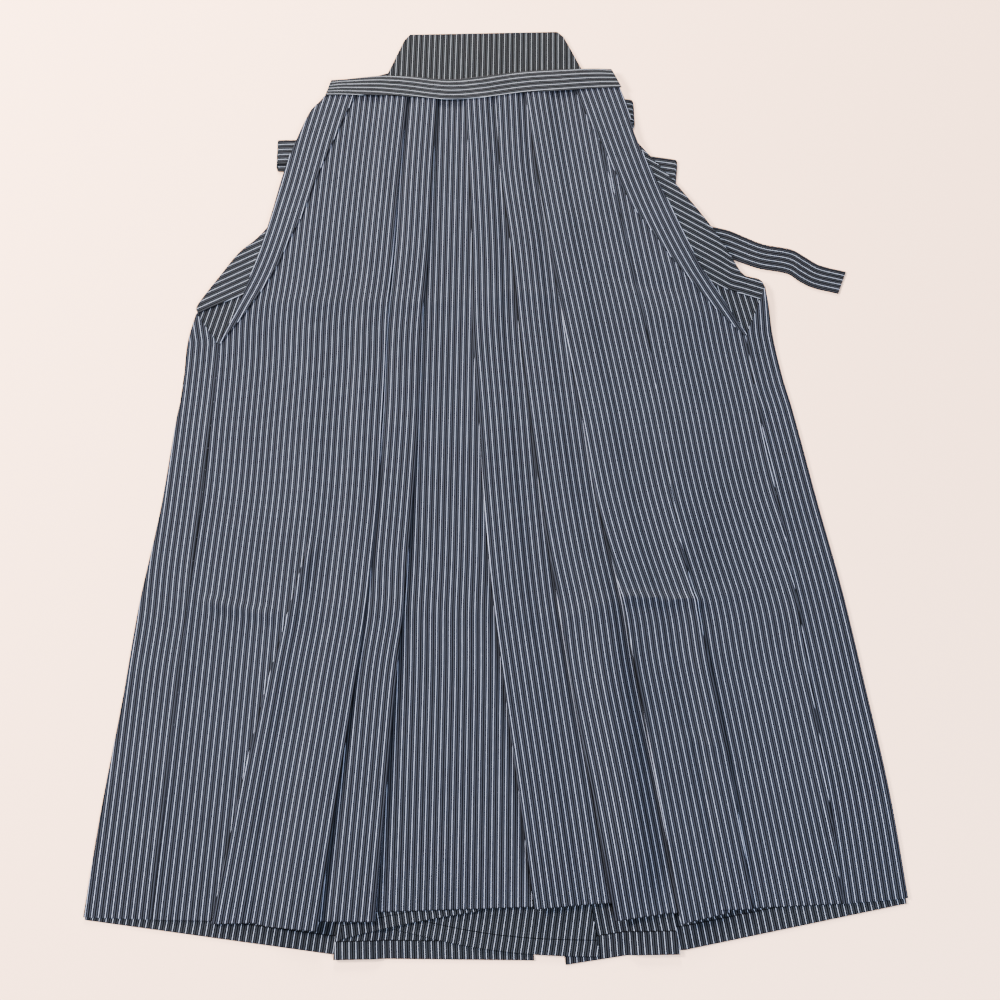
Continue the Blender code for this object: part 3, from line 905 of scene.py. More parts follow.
@dataclass(frozen=True)
class StripedCloth:
    """A woven cloth with fine lengthwise stripes."""

    name: str
    ground: tuple[float, float, float]
    pale: tuple[float, float, float]
    middle: tuple[float, float, float]
    roughness: float = 0.8
    sheen: float = 0.0
    pitch: float = STRIPE_PITCH

    def material(self) -> bpy.types.Material:
        """Builds the material: stripes, uneven dye, fibres and weave.

        Returns:
            The new material.
        """
        material = bpy.data.materials.new(self.name)
        material.use_nodes = True
        tree = material.node_tree
        shader = tree.nodes["Principled BSDF"]
        shader.inputs["Roughness"].default_value = self.roughness
        shader.inputs["Sheen Weight"].default_value = self.sheen
        shader.inputs["Sheen Roughness"].default_value = 0.5
        shader.inputs["Specular IOR Level"].default_value = 0.03
        maker = Nodes(tree)
        place_on = maker.add("ShaderNodeUVMap")
        place_on.uv_map = THREAD_MAP
        parts = maker.add("ShaderNodeSeparateXYZ", Vector=place_on.outputs["UV"])
        across, along = parts.outputs["X"], parts.outputs["Y"]
        stripes = self.stripes(maker, across)
        # Uneven dye, times the grey of the stitches and of the painted shadow at hem edges.
        tone = maker.math("MULTIPLY", self.tone(maker, place_on.outputs["UV"]), self.stitch_shade_marks(maker))
        colour = maker.add("ShaderNodeMix", data_type="RGBA", blend_type="MULTIPLY")
        colour.inputs["Factor"].default_value = 1.0
        tree.links.new(stripes, colour.inputs["A"])
        tree.links.new(tone, colour.inputs["B"])
        tree.links.new(colour.outputs["Result"], shader.inputs["Base Color"])
        tree.links.new(self.weave(maker, across, along), shader.inputs["Normal"])
        return material

    def stripes(self, maker: "Nodes", across: bpy.types.NodeSocket) -> bpy.types.NodeSocket:
        """The stripe's colour from the place across the threads.

        Args:
            maker: Adds nodes.
            across: Millimetres across the threads.

        Returns:
            The colour.
        """
        turns = maker.math("DIVIDE", across, self.pitch)
        share = maker.math("PINGPONG", turns, 0.5)
        ramp = maker.add("ShaderNodeValToRGB", Fac=share)
        dark = tuple(0.15 * value for value in self.ground)
        beside = tuple(0.5 * value for value in self.ground)
        stops = (
            (0.0, self.pale),
            (0.018, self.pale),
            (0.042, beside),
            (0.15, beside),
            (0.2, self.ground),
            (0.29, self.ground),
            (0.32, self.middle),
            (0.358, self.middle),
            (0.385, dark),
            (0.5, dark),
        )
        ramp.color_ramp.interpolation = "LINEAR"
        elements = ramp.color_ramp.elements
        while len(elements) < len(stops):
            elements.new(1.0)
        for element, (where, colour) in zip(elements, stops):
            element.position = where
            element.color = (*colour, 1.0)
        return ramp.outputs["Color"]

    def stitch_shade_marks(self, maker: "Nodes") -> bpy.types.NodeSocket:
        """A grey that darkens the cloth along its rows of dark stitches and its hem edges: dark thread with
        painted shade in the stitch groove, and painted shadow under each hem.

        Args:
            maker: Adds nodes.

        Returns:
            The grey.
        """
        sewing = maker.add("ShaderNodeUVMap")
        sewing.uv_map = STITCH_SHADE_MAP
        parts = maker.add("ShaderNodeSeparateXYZ", Vector=sewing.outputs["UV"])
        return maker.range(parts.outputs["X"], 0.0, 1.0, 1.0, STITCH_SHADE_GREY)

    def tone(self, maker: "Nodes", where: bpy.types.NodeSocket) -> bpy.types.NodeSocket:
        """Uneven dye in long patches and short flecks.

        Args:
            maker: Adds nodes.
            where: The place on the threads.

        Returns:
            A grey that multiplies the stripe.
        """
        stretch = maker.add("ShaderNodeMapping", Vector=where)
        stretch.inputs["Scale"].default_value = (1.4, 0.12, 1.0)
        flecks = maker.add("ShaderNodeTexNoise", Vector=stretch.outputs["Vector"])
        flecks.inputs["Scale"].default_value = 1.0
        flecks.inputs["Detail"].default_value = 2.0
        patches = maker.add("ShaderNodeTexNoise", Vector=where)
        patches.inputs["Scale"].default_value = 0.012
        patches.inputs["Detail"].default_value = 2.0
        fine = maker.range(flecks.outputs["Fac"], 0.3, 0.7, 0.86, 1.14)
        broad = maker.range(patches.outputs["Fac"], 0.3, 0.7, 0.94, 1.06)
        return maker.math("MULTIPLY", fine, broad)

    def weave(
        self, maker: "Nodes", across: bpy.types.NodeSocket, along: bpy.types.NodeSocket
    ) -> bpy.types.NodeSocket:
        """The bump of the woven threads.

        Args:
            maker: Adds nodes.
            across: Millimetres across the threads.
            along: Millimetres along the threads.

        Returns:
            The normal.
        """
        warp = maker.math("SINE", maker.math("MULTIPLY", across, 2.0 * math.pi / WARP_PITCH), 0.0)
        weft = maker.math("SINE", maker.math("MULTIPLY", along, 2.0 * math.pi / WEFT_PITCH), 0.0)
        bump = maker.add("ShaderNodeBump", Height=maker.math("MULTIPLY", warp, weft))
        bump.inputs["Strength"].default_value = 0.12
        bump.inputs["Distance"].default_value = 0.00008
        return bump.outputs["Normal"]


@dataclass
class Nodes:
    """Adds and links shader nodes."""

    tree: bpy.types.NodeTree

    def add(self, kind: str, **given: object) -> bpy.types.Node:
        """Adds a node, linking sockets and setting its options by name.

        Args:
            kind: The node's type.
            given: Sockets to link, or options to set.

        Returns:
            The new node.
        """
        node = self.tree.nodes.new(kind)
        for name, value in given.items():
            if isinstance(value, bpy.types.NodeSocket):
                self.tree.links.new(value, node.inputs[name])
            else:
                setattr(node, name, value)
        return node

    def math(
        self, operation: str, first: bpy.types.NodeSocket, second: bpy.types.NodeSocket | float
    ) -> bpy.types.NodeSocket:
        """Links a math node.

        Args:
            operation: What it works out.
            first: Its first value.
            second: Its second value.

        Returns:
            The result.
        """
        node = self.add("ShaderNodeMath", operation=operation)
        for socket, value in zip(node.inputs, (first, second)):
            if isinstance(value, bpy.types.NodeSocket):
                self.tree.links.new(value, socket)
            else:
                socket.default_value = value
        return node.outputs[0]

    def range(
        self, value: bpy.types.NodeSocket, low: float, high: float, to_low: float, to_high: float
    ) -> bpy.types.NodeSocket:
        """Spreads a value over another range.

        Args:
            value: The value.
            low: Its low end.
            high: Its high end.
            to_low: The result's low end.
            to_high: The result's high end.

        Returns:
            The result.
        """
        node = self.add("ShaderNodeMapRange", Value=value)
        for name, number in zip(
            ("From Min", "From Max", "To Min", "To Max"), (low, high, to_low, to_high)
        ):
            node.inputs[name].default_value = number
        return node.outputs["Result"]


@dataclass(frozen=True)
class Fold:
    """One fold of a leg: the hems of its two sides, and how the cloth dips beside it."""

    line: str
    over_hem: float
    under_hem: float
    foot_hem: float = 0.0
    dip: float = 0.0
    reach: float = 8.0


@dataclass(frozen=True)
class Turn:
    """An outward fold: where it starts, where it has turned over, and its depth at the hem."""

    start: float
    closed: float
    depth: float


FRONT_TURN = Turn(start=-95.0, closed=-175.0, depth=24.0)
BACK_TURN = Turn(start=-195.0, closed=-275.0, depth=30.0)


@dataclass
class Folder:
    """Lays rails down a leg and folds them."""

    side: int
    rows: Array
    top: Line

    def rail(
        self,
        line: Line,
        lift: Line | float,
        thread: Field,
        hem: float,
    ) -> Rail:
        """One rail down the cloth.

        Args:
            line: Its x at each height.
            lift: Its height above the base.
            thread: The panel's grain.
            hem: The height at which it ends.

        Returns:
            The rail.
        """
        start = float(self.top(line(np.array([WAIST_Y])))[0])
        y = mix(start, hem, self.rows)
        x = line(y)
        height = lift(y) if callable(lift) else np.full_like(y, lift)
        return Rail(y, x, height, thread(x, y))

    def pleat(self, edge: Line, outside: Field, inside: Field, fold: Fold) -> list[Rail]:
        """A knife pleat whose edge faces the centre, from the outside inwards.

        Args:
            edge: The line of its edge.
            outside: The grain of the panel that it ends.
            inside: The grain of the next panel.
            fold: Its hems, and how the next panel dips beside it.

        Returns:
            Its rails.
        """
        side, top = self.side, 2 * PLY
        over_hem, under_hem = fold.over_hem, fold.under_hem

        def dip(y: Array) -> Array:
            return -fold.dip * smooth_share(-y, *DIP_DEEPENS) * smooth_share(y, HEM_Y, DIP_FADES)

        def loft(y: Array) -> Array:
            return PLEAT_LOFT * smooth_share(-y, *LOFT_GROWS)

        def beyond(width: float, share: float = 1.0) -> Line:
            return lambda y: edge(y) + side * (share * pleat_depth(y) + width)

        foot = self.rail(beyond(CLEAR_OF_FOLD + CLOTH_RAMP), 0.0, outside, fold.foot_hem)
        brow = self.rail(beyond(CLEAR_OF_FOLD), top, outside, mix(fold.foot_hem, over_hem, 0.2))
        crest = self.rail(edge, lambda y: top + loft(y), outside, over_hem)
        rails = [foot, *spread(foot, brow, 6, eased=True), brow, *spread(brow, crest, 5)]
        for turn in np.linspace(0.0, math.pi, FOLD_STEPS + 1):
            out = FOLD_RADIUS * math.sin(turn)
            drop = FOLD_RADIUS * (1.0 - math.cos(turn))
            start = self.rail(beyond(-out, 0.0), top - drop, outside, over_hem)
            start.lift = start.lift + loft(start.y)
            start.thread = outside(edge(start.y), start.y) - side * FOLD_RADIUS * turn
            rails.append(start)
        under = self.rail(beyond(0.0), PLY, inside, under_hem)
        under.thread = rails[-1].thread - side * np.abs(under.x - rails[-1].x)
        landed = self.rail(beyond(0.0), 0.0, inside, under_hem)
        rails += [*spread(rails[-1], under, 3), under]
        for turn in np.linspace(0.0, math.pi, FOLD_STEPS + 1)[1:-1]:
            share = turn / math.pi
            out = FOLD_RADIUS * math.sin(turn)
            drop = FOLD_RADIUS * (1.0 - math.cos(turn))
            curl = self.rail(beyond(out), PLY - drop, inside, under_hem)
            curl.thread = mix(under.thread, landed.thread, share)
            rails.append(curl)
        if not fold.dip:
            return [*rails, landed]
        near = self.rail(beyond(4.0, 0.0), 0.0, inside, under_hem)
        low = self.rail(beyond(-1.0, 0.0), dip, inside, under_hem)
        far = self.rail(beyond(-fold.reach, 0.0), 0.0, inside, under_hem)
        onward = [*spread(landed, near, 3), near, *spread(near, low, 2, eased=True), low]
        onward += [*spread(low, far, 6, eased=True), far]
        for rail in onward:
            rail.thread = inside(rail.x, rail.y)
        return [*rails, landed, *onward]

    def turn(
        self, edge: Line, shape: Turn, outside: Field, inside: Field, over_hem: float, under_hem: float
    ) -> list[Rail]:
        """A fold whose edge faces outwards: flat at its start, deepest at the hem.

        Args:
            edge: The line of its edge.
            shape: Where it starts and closes, and its depth.
            outside: The grain of the panel before it.
            inside: The grain of the panel after it.
            over_hem: Hem of the panel after it.
            under_hem: Hem of the panel before it.

        Returns:
            Its rails, from the outside inwards.
        """
        side = self.side

        def shares(y: Array) -> tuple[Array, Array, Array, Array]:
            progress = np.clip((shape.start - y) / (shape.start - shape.closed), 0.0, 1.0)
            depth = shape.depth * np.maximum((shape.closed - y) / (shape.closed - HEM_Y), 0.0)
            angle = np.maximum(math.pi * progress, FLATTEST_TURN)
            slope = 2 * FOLD_RADIUS / np.tan(np.maximum(angle, STEEPEST_OPEN) / 2)
            straight = np.maximum(slope, SEAM_GAP) + depth
            rise = smooth_share(progress, 0.0, TURN_RISEN)
            return angle, straight, rise, progress

        def onward_up(y: Array, kind: int, part: float) -> tuple[Array, Array]:
            angle, straight, rise, _ = shares(y)
            if kind == 0:
                bend = angle * part
                return FOLD_RADIUS * np.sin(bend), FOLD_RADIUS * (1.0 - np.cos(bend)) * rise
            across = FOLD_RADIUS * np.sin(angle)
            up = FOLD_RADIUS * (1.0 - np.cos(angle))
            onward = across + straight * np.cos(angle)
            over = up + straight * np.sin(angle)
            if kind == 1:
                return mix(across, onward, part), mix(up, over, part) * rise
            bend = angle * (1.0 - part)
            return (
                onward + across - FOLD_RADIUS * np.sin(bend),
                (over + up - FOLD_RADIUS * (1.0 - np.cos(bend))) * rise,
            )

        places = [(0, part) for part in np.linspace(0.0, 1.0, FOLD_STEPS + 1)]
        places += [(1, part) for part in (0.25, 0.5, 0.75)]
        places += [(2, part) for part in np.linspace(0.0, 1.0, FOLD_STEPS + 1)]
        rails = []
        hems = [under_hem] * (FOLD_STEPS + 1) + [over_hem] * (FOLD_STEPS + 4)
        for (kind, part), hem in zip(places, hems):

            def line(y: Array, kind: int = kind, part: float = part) -> Array:
                onward, _ = onward_up(y, kind, part)
                last, _ = onward_up(y, 2, 1.0)
                return edge(y) - side * (onward - last)

            def lift(y: Array, kind: int = kind, part: float = part) -> Array:
                return onward_up(y, kind, part)[1]

            rails.append(self.rail(line, lift, inside, hem))
        crest = rails[-1]
        progress = shares(crest.y)[3]
        before = outside(rails[0].x, rails[0].y)
        walked = np.zeros_like(crest.y)
        for place in range(len(rails) - 2, -1, -1):
            here, after = rails[place], rails[place + 1]
            walked = walked + np.hypot(here.x - after.x, here.lift - after.lift)
            folded = inside(crest.x, crest.y) + side * walked
            here.thread = mix(here.thread, folded, smooth_share(progress, 0.0, 0.5))
        for place in range(FOLD_STEPS + 1):
            share = place / FOLD_STEPS
            rails[place].thread = mix(before, rails[place].thread, share)

        def past(width: float) -> Line:
            return lambda y: edge(y) - side * (shares(y)[1] + width)

        def top(y: Array) -> Array:
            return onward_up(y, 2, 1.0)[1]

        brow = self.rail(past(CLEAR_OF_FOLD), top, inside, over_hem)
        foot = self.rail(past(CLEAR_OF_FOLD + CLOTH_RAMP), 0.0, inside, over_hem)
        return [*rails, *spread(crest, brow, 5), brow, *spread(brow, foot, 5, eased=True), foot]


def joined(runs: Sequence[list[Rail]], grains: Sequence[Field]) -> list[Rail]:
    """Runs of rails in one list, with the flat cloth between them.

    Args:
        runs: The rails of each fold.
        grains: The grain of the cloth before each fold but the first.

    Returns:
        All the rails, from one side to the other.
    """
    whole = list(runs[0])
    for run, grain in zip(runs[1:], grains):
        between = spread(whole[-1], run[0], columns_between(whole[-1], run[0]))
        for rail in between:
            rail.thread = grain(rail.x, rail.y)
        whole += [*between, *run]
    return whole


def sheet_of(
    name: str,
    rails: Sequence[Rail],
    base: Field,
    relief: Field | None = None,
    thickness: float = CLOTH,
    stitch_shade: Array | None = None,
) -> Sheet:
    """The cloth through a list of rails.

    Args:
        name: The piece's name.
        rails: Its rails, from one side to the other.
        base: What the cloth lies on.
        relief: Creases added to its height.
        thickness: Of the cloth.
        stitch_shade: 1 for each row darkened for its stitches or, as painted shadow, at a hem's edge, else
            0.

    Returns:
        The sheet.
    """
    x = np.stack([rail.x for rail in rails], axis=1)
    y = np.stack([rail.y for rail in rails], axis=1)
    lift = np.stack([rail.lift for rail in rails], axis=1)
    thread = np.stack([rail.thread for rail in rails], axis=1)
    height = middle(base(x, y), lift)
    if relief is not None:
        height = height + relief(x, y)
    threads = np.stack([thread, -y], -1)
    return Sheet(name, np.stack([x, y, height], -1), threads, thickness=thickness, stitch_shade=stitch_shade)


def front_edge_line(side: Side) -> Line:
    """Outer edge of a front leg: the folded side at the hip, then the side panel's seam."""
    hip = SIDE_FOLDS.line(side.word + "_outer")
    seam = SIDE_PANELS.line(side.word + "_seam")
    return lambda y: np.where(y > SIDE_FOOT_Y, hip(y), seam(y)) - side.value * SEAM_INSET


@dataclass
class FrontLeg:
    """One front leg: the cloth folded into its pleats, from the outer seam to the centre."""

    side: Side
    outer_hem: float
    folds: tuple[Fold, ...]
    centre_hem: float = -473.0
    seam_inset: float = 6.0
    row_count: int = 205

    def grains(self) -> list[Field]:
        """The grain of each panel from the outer seam to the centre."""
        centre = StrayGrain(
            Grain(leaning(-40.0, 0.0, 1.5)),
            CENTRE_STRAY,
        )
        if self.side is Side.LEFT:
            turn, second, first = (
                FRONT_TURNS.line("left_turn"),
                FRONT_PLEATS.line("left_second"),
                FRONT_PLEATS.line("left_first"),
            )
            beside = Grain(second)
            seam = SIDE_PANELS.line("left_seam")

            def outer(x: Array, y: Array) -> Array:
                low = np.minimum(y, FRONT_TURN.start)
                moved = x - seam(low) + seam(np.full_like(low, FRONT_TURN.start))
                return beside(moved, np.maximum(y, FRONT_TURN.start))

            return [
                StrayGrain(outer, LEFT_OUTER_STRAY),
                StrayGrain(beside, LEFT_SECOND_STRAY),
                StrayGrain(Grain(first), LEFT_FIRST_STRAY),
                centre,
            ]
        lines = [FRONT_TURNS.line("right_turn")] + [
            FRONT_PLEATS.line(name) for name in ("right_third", "right_second", "right_first")
        ]
        turn, third, second, first = lines
        return [
            StrayGrain(Grain(third), RIGHT_OUTER_STRAY),
            StrayGrain(Grain(third), RIGHT_THIRD_STRAY),
            StrayGrain(Grain(second), RIGHT_SECOND_STRAY),
            StrayGrain(Grain(first), RIGHT_FIRST_STRAY),
            centre,
        ]

    def seam_line(self) -> Line:
        """The centre seam, hidden under the left leg's first pleat."""
        first = FRONT_PLEATS.line("left_first")
        return lambda y: first(y) - self.seam_inset + self.side.value * SEAM_GAP / 2

    def build(self, finish: bpy.types.Material) -> bpy.types.Object:
        """Folds and places the leg.

        Args:
            finish: Its cloth.

        Returns:
            The new object.
        """
        word = self.side.word
        # The hem's edge and its rim are darkened as painted shadow.
        rows, stitch_shade = hemmed_rows(self.row_count, WAIST_Y - HEM_Y)
        folder = Folder(self.side.value, rows, waist_height)
        grains = self.grains()
        runs = [[folder.rail(front_edge_line(self.side), 0.0, grains[0], self.outer_hem)]]
        for fold, outside, inside in zip(self.folds, grains, grains[1:]):
            if fold.line.endswith("turn"):
                edge = FRONT_TURNS.line(fold.line)
                hems = (fold.over_hem, fold.under_hem)
                runs.append(folder.turn(edge, FRONT_TURN, outside, inside, *hems))
            else:
                runs.append(folder.pleat(FRONT_PLEATS.line(fold.line), outside, inside, fold))
        runs.append([folder.rail(self.seam_line(), 0.0, grains[-1], self.centre_hem)])
        rails = joined(runs, grains)
        sheet = sheet_of(f"front_{word}_cloth", rails, front_base, front_relief, stitch_shade=stitch_shade)
        return settle(
            sheet.build(finish),
            f"front_{word}_leg",
            sheet.cut(),
            Held.FOLDED,
            ["left_inner_leg_cloth", f"back_{word}_cloth"],
        )


@dataclass
class SidePanel:
    """The narrow panel along a side of the front, below the side opening."""

    side: Side
    corner_y: float
    outer_hem: float
    seam_hem: float
    follows_seam: bool
    top_grain: LeaningGrain
    stray: Stray
    row_count: int = 180
    column_count: int = 14

    def build(self, finish: bpy.types.Material) -> bpy.types.Object:
        """Lays and places the panel.

        Args:
            finish: Its cloth.

        Returns:
            The new object.
        """
        word = self.side.word
        seam = SIDE_PANELS.line(word + "_seam")
        outer = SIDE_PANELS.line(word + "_side")
        share = np.linspace(0.0, 1.0, self.row_count)
        seam_y = mix(SIDE_FOOT_Y - SEAM_INSET, self.seam_hem, share)
        outer_y = mix(self.corner_y, self.outer_hem, share)
        strayed = StrayGrain(Grain(seam if self.follows_seam else outer), self.stray)
        above = self.top_grain.counted_on(strayed)
        grain = ChangingGrain(above, strayed, SIDE_FOOT_Y + 8.0, SIDE_FOOT_Y - 4.0)
        rails = []
        for across in np.linspace(0.0, 1.0, self.column_count):
            y = mix(seam_y, outer_y, across)
            x = mix(seam(seam_y) + self.side.value * (SEAM_GAP - SEAM_INSET), outer(outer_y), across)
            rails.append(Rail(y, x, np.zeros_like(y), grain(x, y)))
        sheet = sheet_of(f"front_{word}_side_cloth", rails, front_base, front_relief)
        return settle(
            sheet.build(finish),
            f"front_{word}_side_panel",
            sheet.cut(),
            Held.LAID,
            [f"back_{word}_cloth"],
        )


@dataclass
class SideFold:
    """The turned-back side of the front, a long leaf shape on top of the front leg."""

    side: Side
    leans: tuple[tuple[float, float], ...]
    row_count: int = 110
    column_count: int = 12

    def grain(self) -> Grain:
        """The grain, whose lean changes down the fold."""
        heights = np.array([y for y, _ in self.leans])
        slopes = np.tan(np.radians([lean for _, lean in self.leans]))
        steps = np.diff(heights) * (slopes[1:] + slopes[:-1]) / 2
        start = float(SIDE_FOLDS.line(self.side.word + "_outer")(heights[:1])[0])
        xs = start + np.concatenate([[0.0], np.cumsum(steps)])
        return Grain(SmoothLine(tuple(heights), tuple(xs)))

    def build(self, finish: bpy.types.Material) -> bpy.types.Object:
        """Lays and places the fold.

        Args:
            finish: Its cloth.

        Returns:
            The new object.
        """
        word = self.side.word
        inner = SIDE_FOLDS.line(word + "_inner")
        outer = SIDE_FOLDS.line(word + "_outer")
        top = float(waist_height(inner(np.array([WAIST_Y])))[0])
        y = mix(top, SIDE_FOOT_Y, np.linspace(0.0, 1.0, self.row_count))
        grain = self.grain()
        rails = []
        for across in np.linspace(0.0, 1.0, self.column_count):
            x = mix(inner(y), outer(y), across)
            rails.append(Rail(y, x, np.full_like(y, PLY), grain(x, y)))
        sheet = sheet_of(f"{word}_side_fold_cloth", rails, front_base, front_relief)
        return settle(
            sheet.build(finish),
            f"{word}_side_fold",
            sheet.cut(),
            Held.FOLDED,
            [f"front_{word}_cloth"],
        )


@dataclass
class LaidPiece:
    """A piece laid between two tabled edges: a facing or an inner leg."""

    name: str
    node: str
    table: Table
    plies: float
    grain: Field
    on_back: bool
    rests_on: tuple[str, ...]
    hem_grain: LeaningGrain | None = None
    hem_depth: float = 18.0
    sag: float = 0.0
    row_count: int = 60
    column_count: int = 24

    def build(self, finish: bpy.types.Material) -> bpy.types.Object:
        """Lays and places the piece.

        Args:
            finish: Its cloth.

        Returns:
            The new object.
        """
        shares = np.linspace(0.0, 1.0, self.row_count)
        lines = [self.table.along(label) for label in EDGE_COLUMNS]
        length = float(np.hypot(*np.subtract(self.table.rows[-1][:2], self.table.rows[0][:2])))
        hemmed, stitch_shade = np.zeros_like(shares), None
        if self.hem_grain:
            shares, hemmed, stitch_shade = turned_rows(shares, length, self.hem_depth)
        outer_x, outer_y, inner_x, inner_y = (line(shares) for line in lines)
        below = self.hem_grain.counted_on(self.grain) if self.hem_grain else self.grain
        rails = []
        for across in np.linspace(0.0, 1.0, self.column_count):
            x, y = mix(outer_x, inner_x, across), mix(outer_y, inner_y, across)
            y = y - self.sag * math.sin(math.pi * across) * smooth_share(shares, 0.5, 1.0)
            thread = mix(self.grain(x, y), below(x, y), hemmed)
            rails.append(Rail(y, x, self.plies * PLY + HEM_STEP * (1.0 - hemmed), thread))
        sheet = sheet_of(self.name, rails, self.base, stitch_shade=stitch_shade)
        return settle(
            sheet.build(finish), self.node, sheet.cut(), Held.LAID, self.rests_on
        )

    def base(self, x: Array, y: Array) -> Array:
        """What the piece lies on."""
        return back_base(y) if self.on_back else np.zeros_like(y)


def hemmed_rows(count: int, length: float) -> tuple[Array, Array]:
    """Even rows down a leg with one more close to the hem, which bounds a thin painted shadow at the hem's
    edge.

    Args:
        count: How many even rows.
        length: How long the piece is.

    Returns:
        The shares of the way down, and 1 for the row that is the hem's edge, else 0; that row
        is darkened as painted shadow under the hem.
    """
    rows = np.insert(np.linspace(0.0, 1.0, count), count - 1, 1.0 - 2 * STITCH_SHADE_WIDTH / length)
    return rows, (rows >= 1.0).astype(float)


def turned_rows(shares: Array, length: float, depth: float) -> tuple[Array, Array, Array]:
    """Rows of a leg with its hem turned up.

    Args:
        shares: Even shares of the way down.
        length: How long the piece is.
        depth: How deep its hem is turned up.

    Returns:
        The shares with close rows at the stitches, 1 for each row on the hem, and 1 for each
        row of stitches and for the edge; these are darkened, the stitches as dark thread with
        painted shade in their groove and the edge as painted shadow under the hem.
    """
    edge = 1.0 - depth / length
    step = STITCH_SHADE_WIDTH / length
    near = edge + step * np.array([-2.0, -1.0, 0.0, 1.0])
    kept = shares[(np.abs(shares - edge) > 3 * step) & (shares < 1.0)]
    found = np.sort(np.concatenate([kept, near, [1.0 - 2 * step, 1.0]]))
    on_hem = (found >= edge - 1e-9).astype(float)
    # Darkened rows: the stitches as dark thread with painted shade, and the edge as painted shadow under the
    # hem.
    stitch_shade = (np.abs(found - edge + step / 2) < 0.7 * step) | (found >= 1.0)
    return found, on_hem, stitch_shade.astype(float)


@dataclass
class BackLeg:
    """One back leg, which lies on the ground with one fold facing outwards."""

    side: Side
    hems: tuple[float, float, float, float, float]
    hip: LeaningGrain
    outside: LeaningGrain
    inside: LeaningGrain
    outside_hem: LeaningGrain
    inside_hem: LeaningGrain
    hem_depth: float
    row_count: int = 90

    def build(self, finish: bpy.types.Material) -> bpy.types.Object:
        """Folds and places the leg.

        Args:
            finish: Its cloth.

        Returns:
            The new object.
        """
        word = self.side.word
        outer, fold, inner = (
            BACK_LINES.line(f"{word}_{name}") for name in ("outer", "fold", "inner")
        )
        top = BACK_LINES.column("y")[0]
        even = np.linspace(0.0, 1.0, self.row_count)
        rows, hemmed, stitch_shade = turned_rows(even, top - HEM_Y, self.hem_depth)
        folder = Folder(self.side.value, rows, lambda x: np.full_like(x, top))
        outer_hem, lip_hem, side_hem, fold_hem, inner_hem = self.hems
        seam_x = self.side.value * SEAM_GAP / 2
        over_outside = self.outside.counted_on(self.hip)
        over_inside = self.inside.counted_on(self.hip)
        outside = ChangingGrain(self.hip, over_outside)
        inside = ChangingGrain(self.hip, over_inside)
        runs = [
            [folder.rail(outer, 0.0, outside, outer_hem)],
            [folder.rail(lambda y: fold(y) + LIP_INSET * self.side.value, 0.0, outside, lip_hem)],
            folder.turn(fold, BACK_TURN, outside, inside, fold_hem, side_hem),
            [folder.rail(lambda y: inner(y) + seam_x, 0.0, inside, inner_hem)],
        ]
        rails = joined(runs, (outside, outside, inside))
        folded = next(place for place, rail in enumerate(rails) if rail is runs[2][0])
        for place, rail in enumerate(rails):
            above, below = (
                (over_outside, self.outside_hem) if place < folded else (over_inside, self.inside_hem)
            )
            moved = below.counted_on(above)(rail.x, rail.y) - above(rail.x, rail.y)
            rail.thread = rail.thread + moved * hemmed
        sheet = sheet_of(f"back_{word}_cloth", rails, lambda _, y: back_base(y), stitch_shade=stitch_shade)
        return settle(
            sheet.build(finish),
            f"back_{word}_leg",
            sheet.cut(),
            Held.FOLDED,
            ["floor"],
        )


@dataclass
class Waistband:
    """The front waistband, folded over the top edge of the front."""

    row_count: int = 110
    profile_count: int = 34

    def build(self, finish: bpy.types.Material) -> bpy.types.Object:
        """Folds and places the band.

        Args:
            finish: Its cloth.

        Returns:
            The new object.
        """
        share = np.linspace(0.0, 1.0, self.row_count)[:, None]
        top_x, top_y, bottom_x, bottom_y = (
            WAISTBAND.along(label)(share) for label in WAISTBAND.columns
        )
        drop = smooth_share(np.abs(top_x - BAND_CENTRE_X), BAND_FLAT_HALF, BAND_END_HALF)
        top_z = mix(BAND_TOP_Z, BAND_END_Z, drop)
        profile = np.linspace(0.0, 1.0, self.profile_count)[None, :]
        up = BAND_PROFILE.along("up")(profile)
        raised = BAND_PROFILE.along("raised")(profile)
        front = smooth_share(raised, 0.6, 1.0)
        puckers = 0.3 * wander(top_x + 12.0 * up, 90.0, 3.0) * front * np.sin(math.pi * np.clip(up, 0, 1))
        z = mix(BAND_BACK_Z, top_z, raised) + puckers
        x = mix(bottom_x, top_x, up)
        y = mix(bottom_y, top_y, up)
        points = np.stack([x, y, z], -1)
        steps = np.linalg.norm(np.diff(points, axis=1), axis=-1)
        walked = np.concatenate([np.zeros((self.row_count, 1)), np.cumsum(steps, axis=1)], axis=1)
        pitch, start = (
            SmoothLine(BAND_STRIPES.column("x"), BAND_STRIPES.column(name))(bottom_x)
            for name in ("pitch", "start")
        )
        threads = np.stack([(walked / pitch - start) * STRIPE_PITCH, x], -1)
        sheet = Sheet("front_waistband_cloth", points, threads, across=(0.0, 1.0))
        return settle(
            sheet.build(finish),
            "front_waistband",
            sheet.cut(),
            Held.FOLDED,
            ["front_left_cloth", "front_right_cloth"],
        )


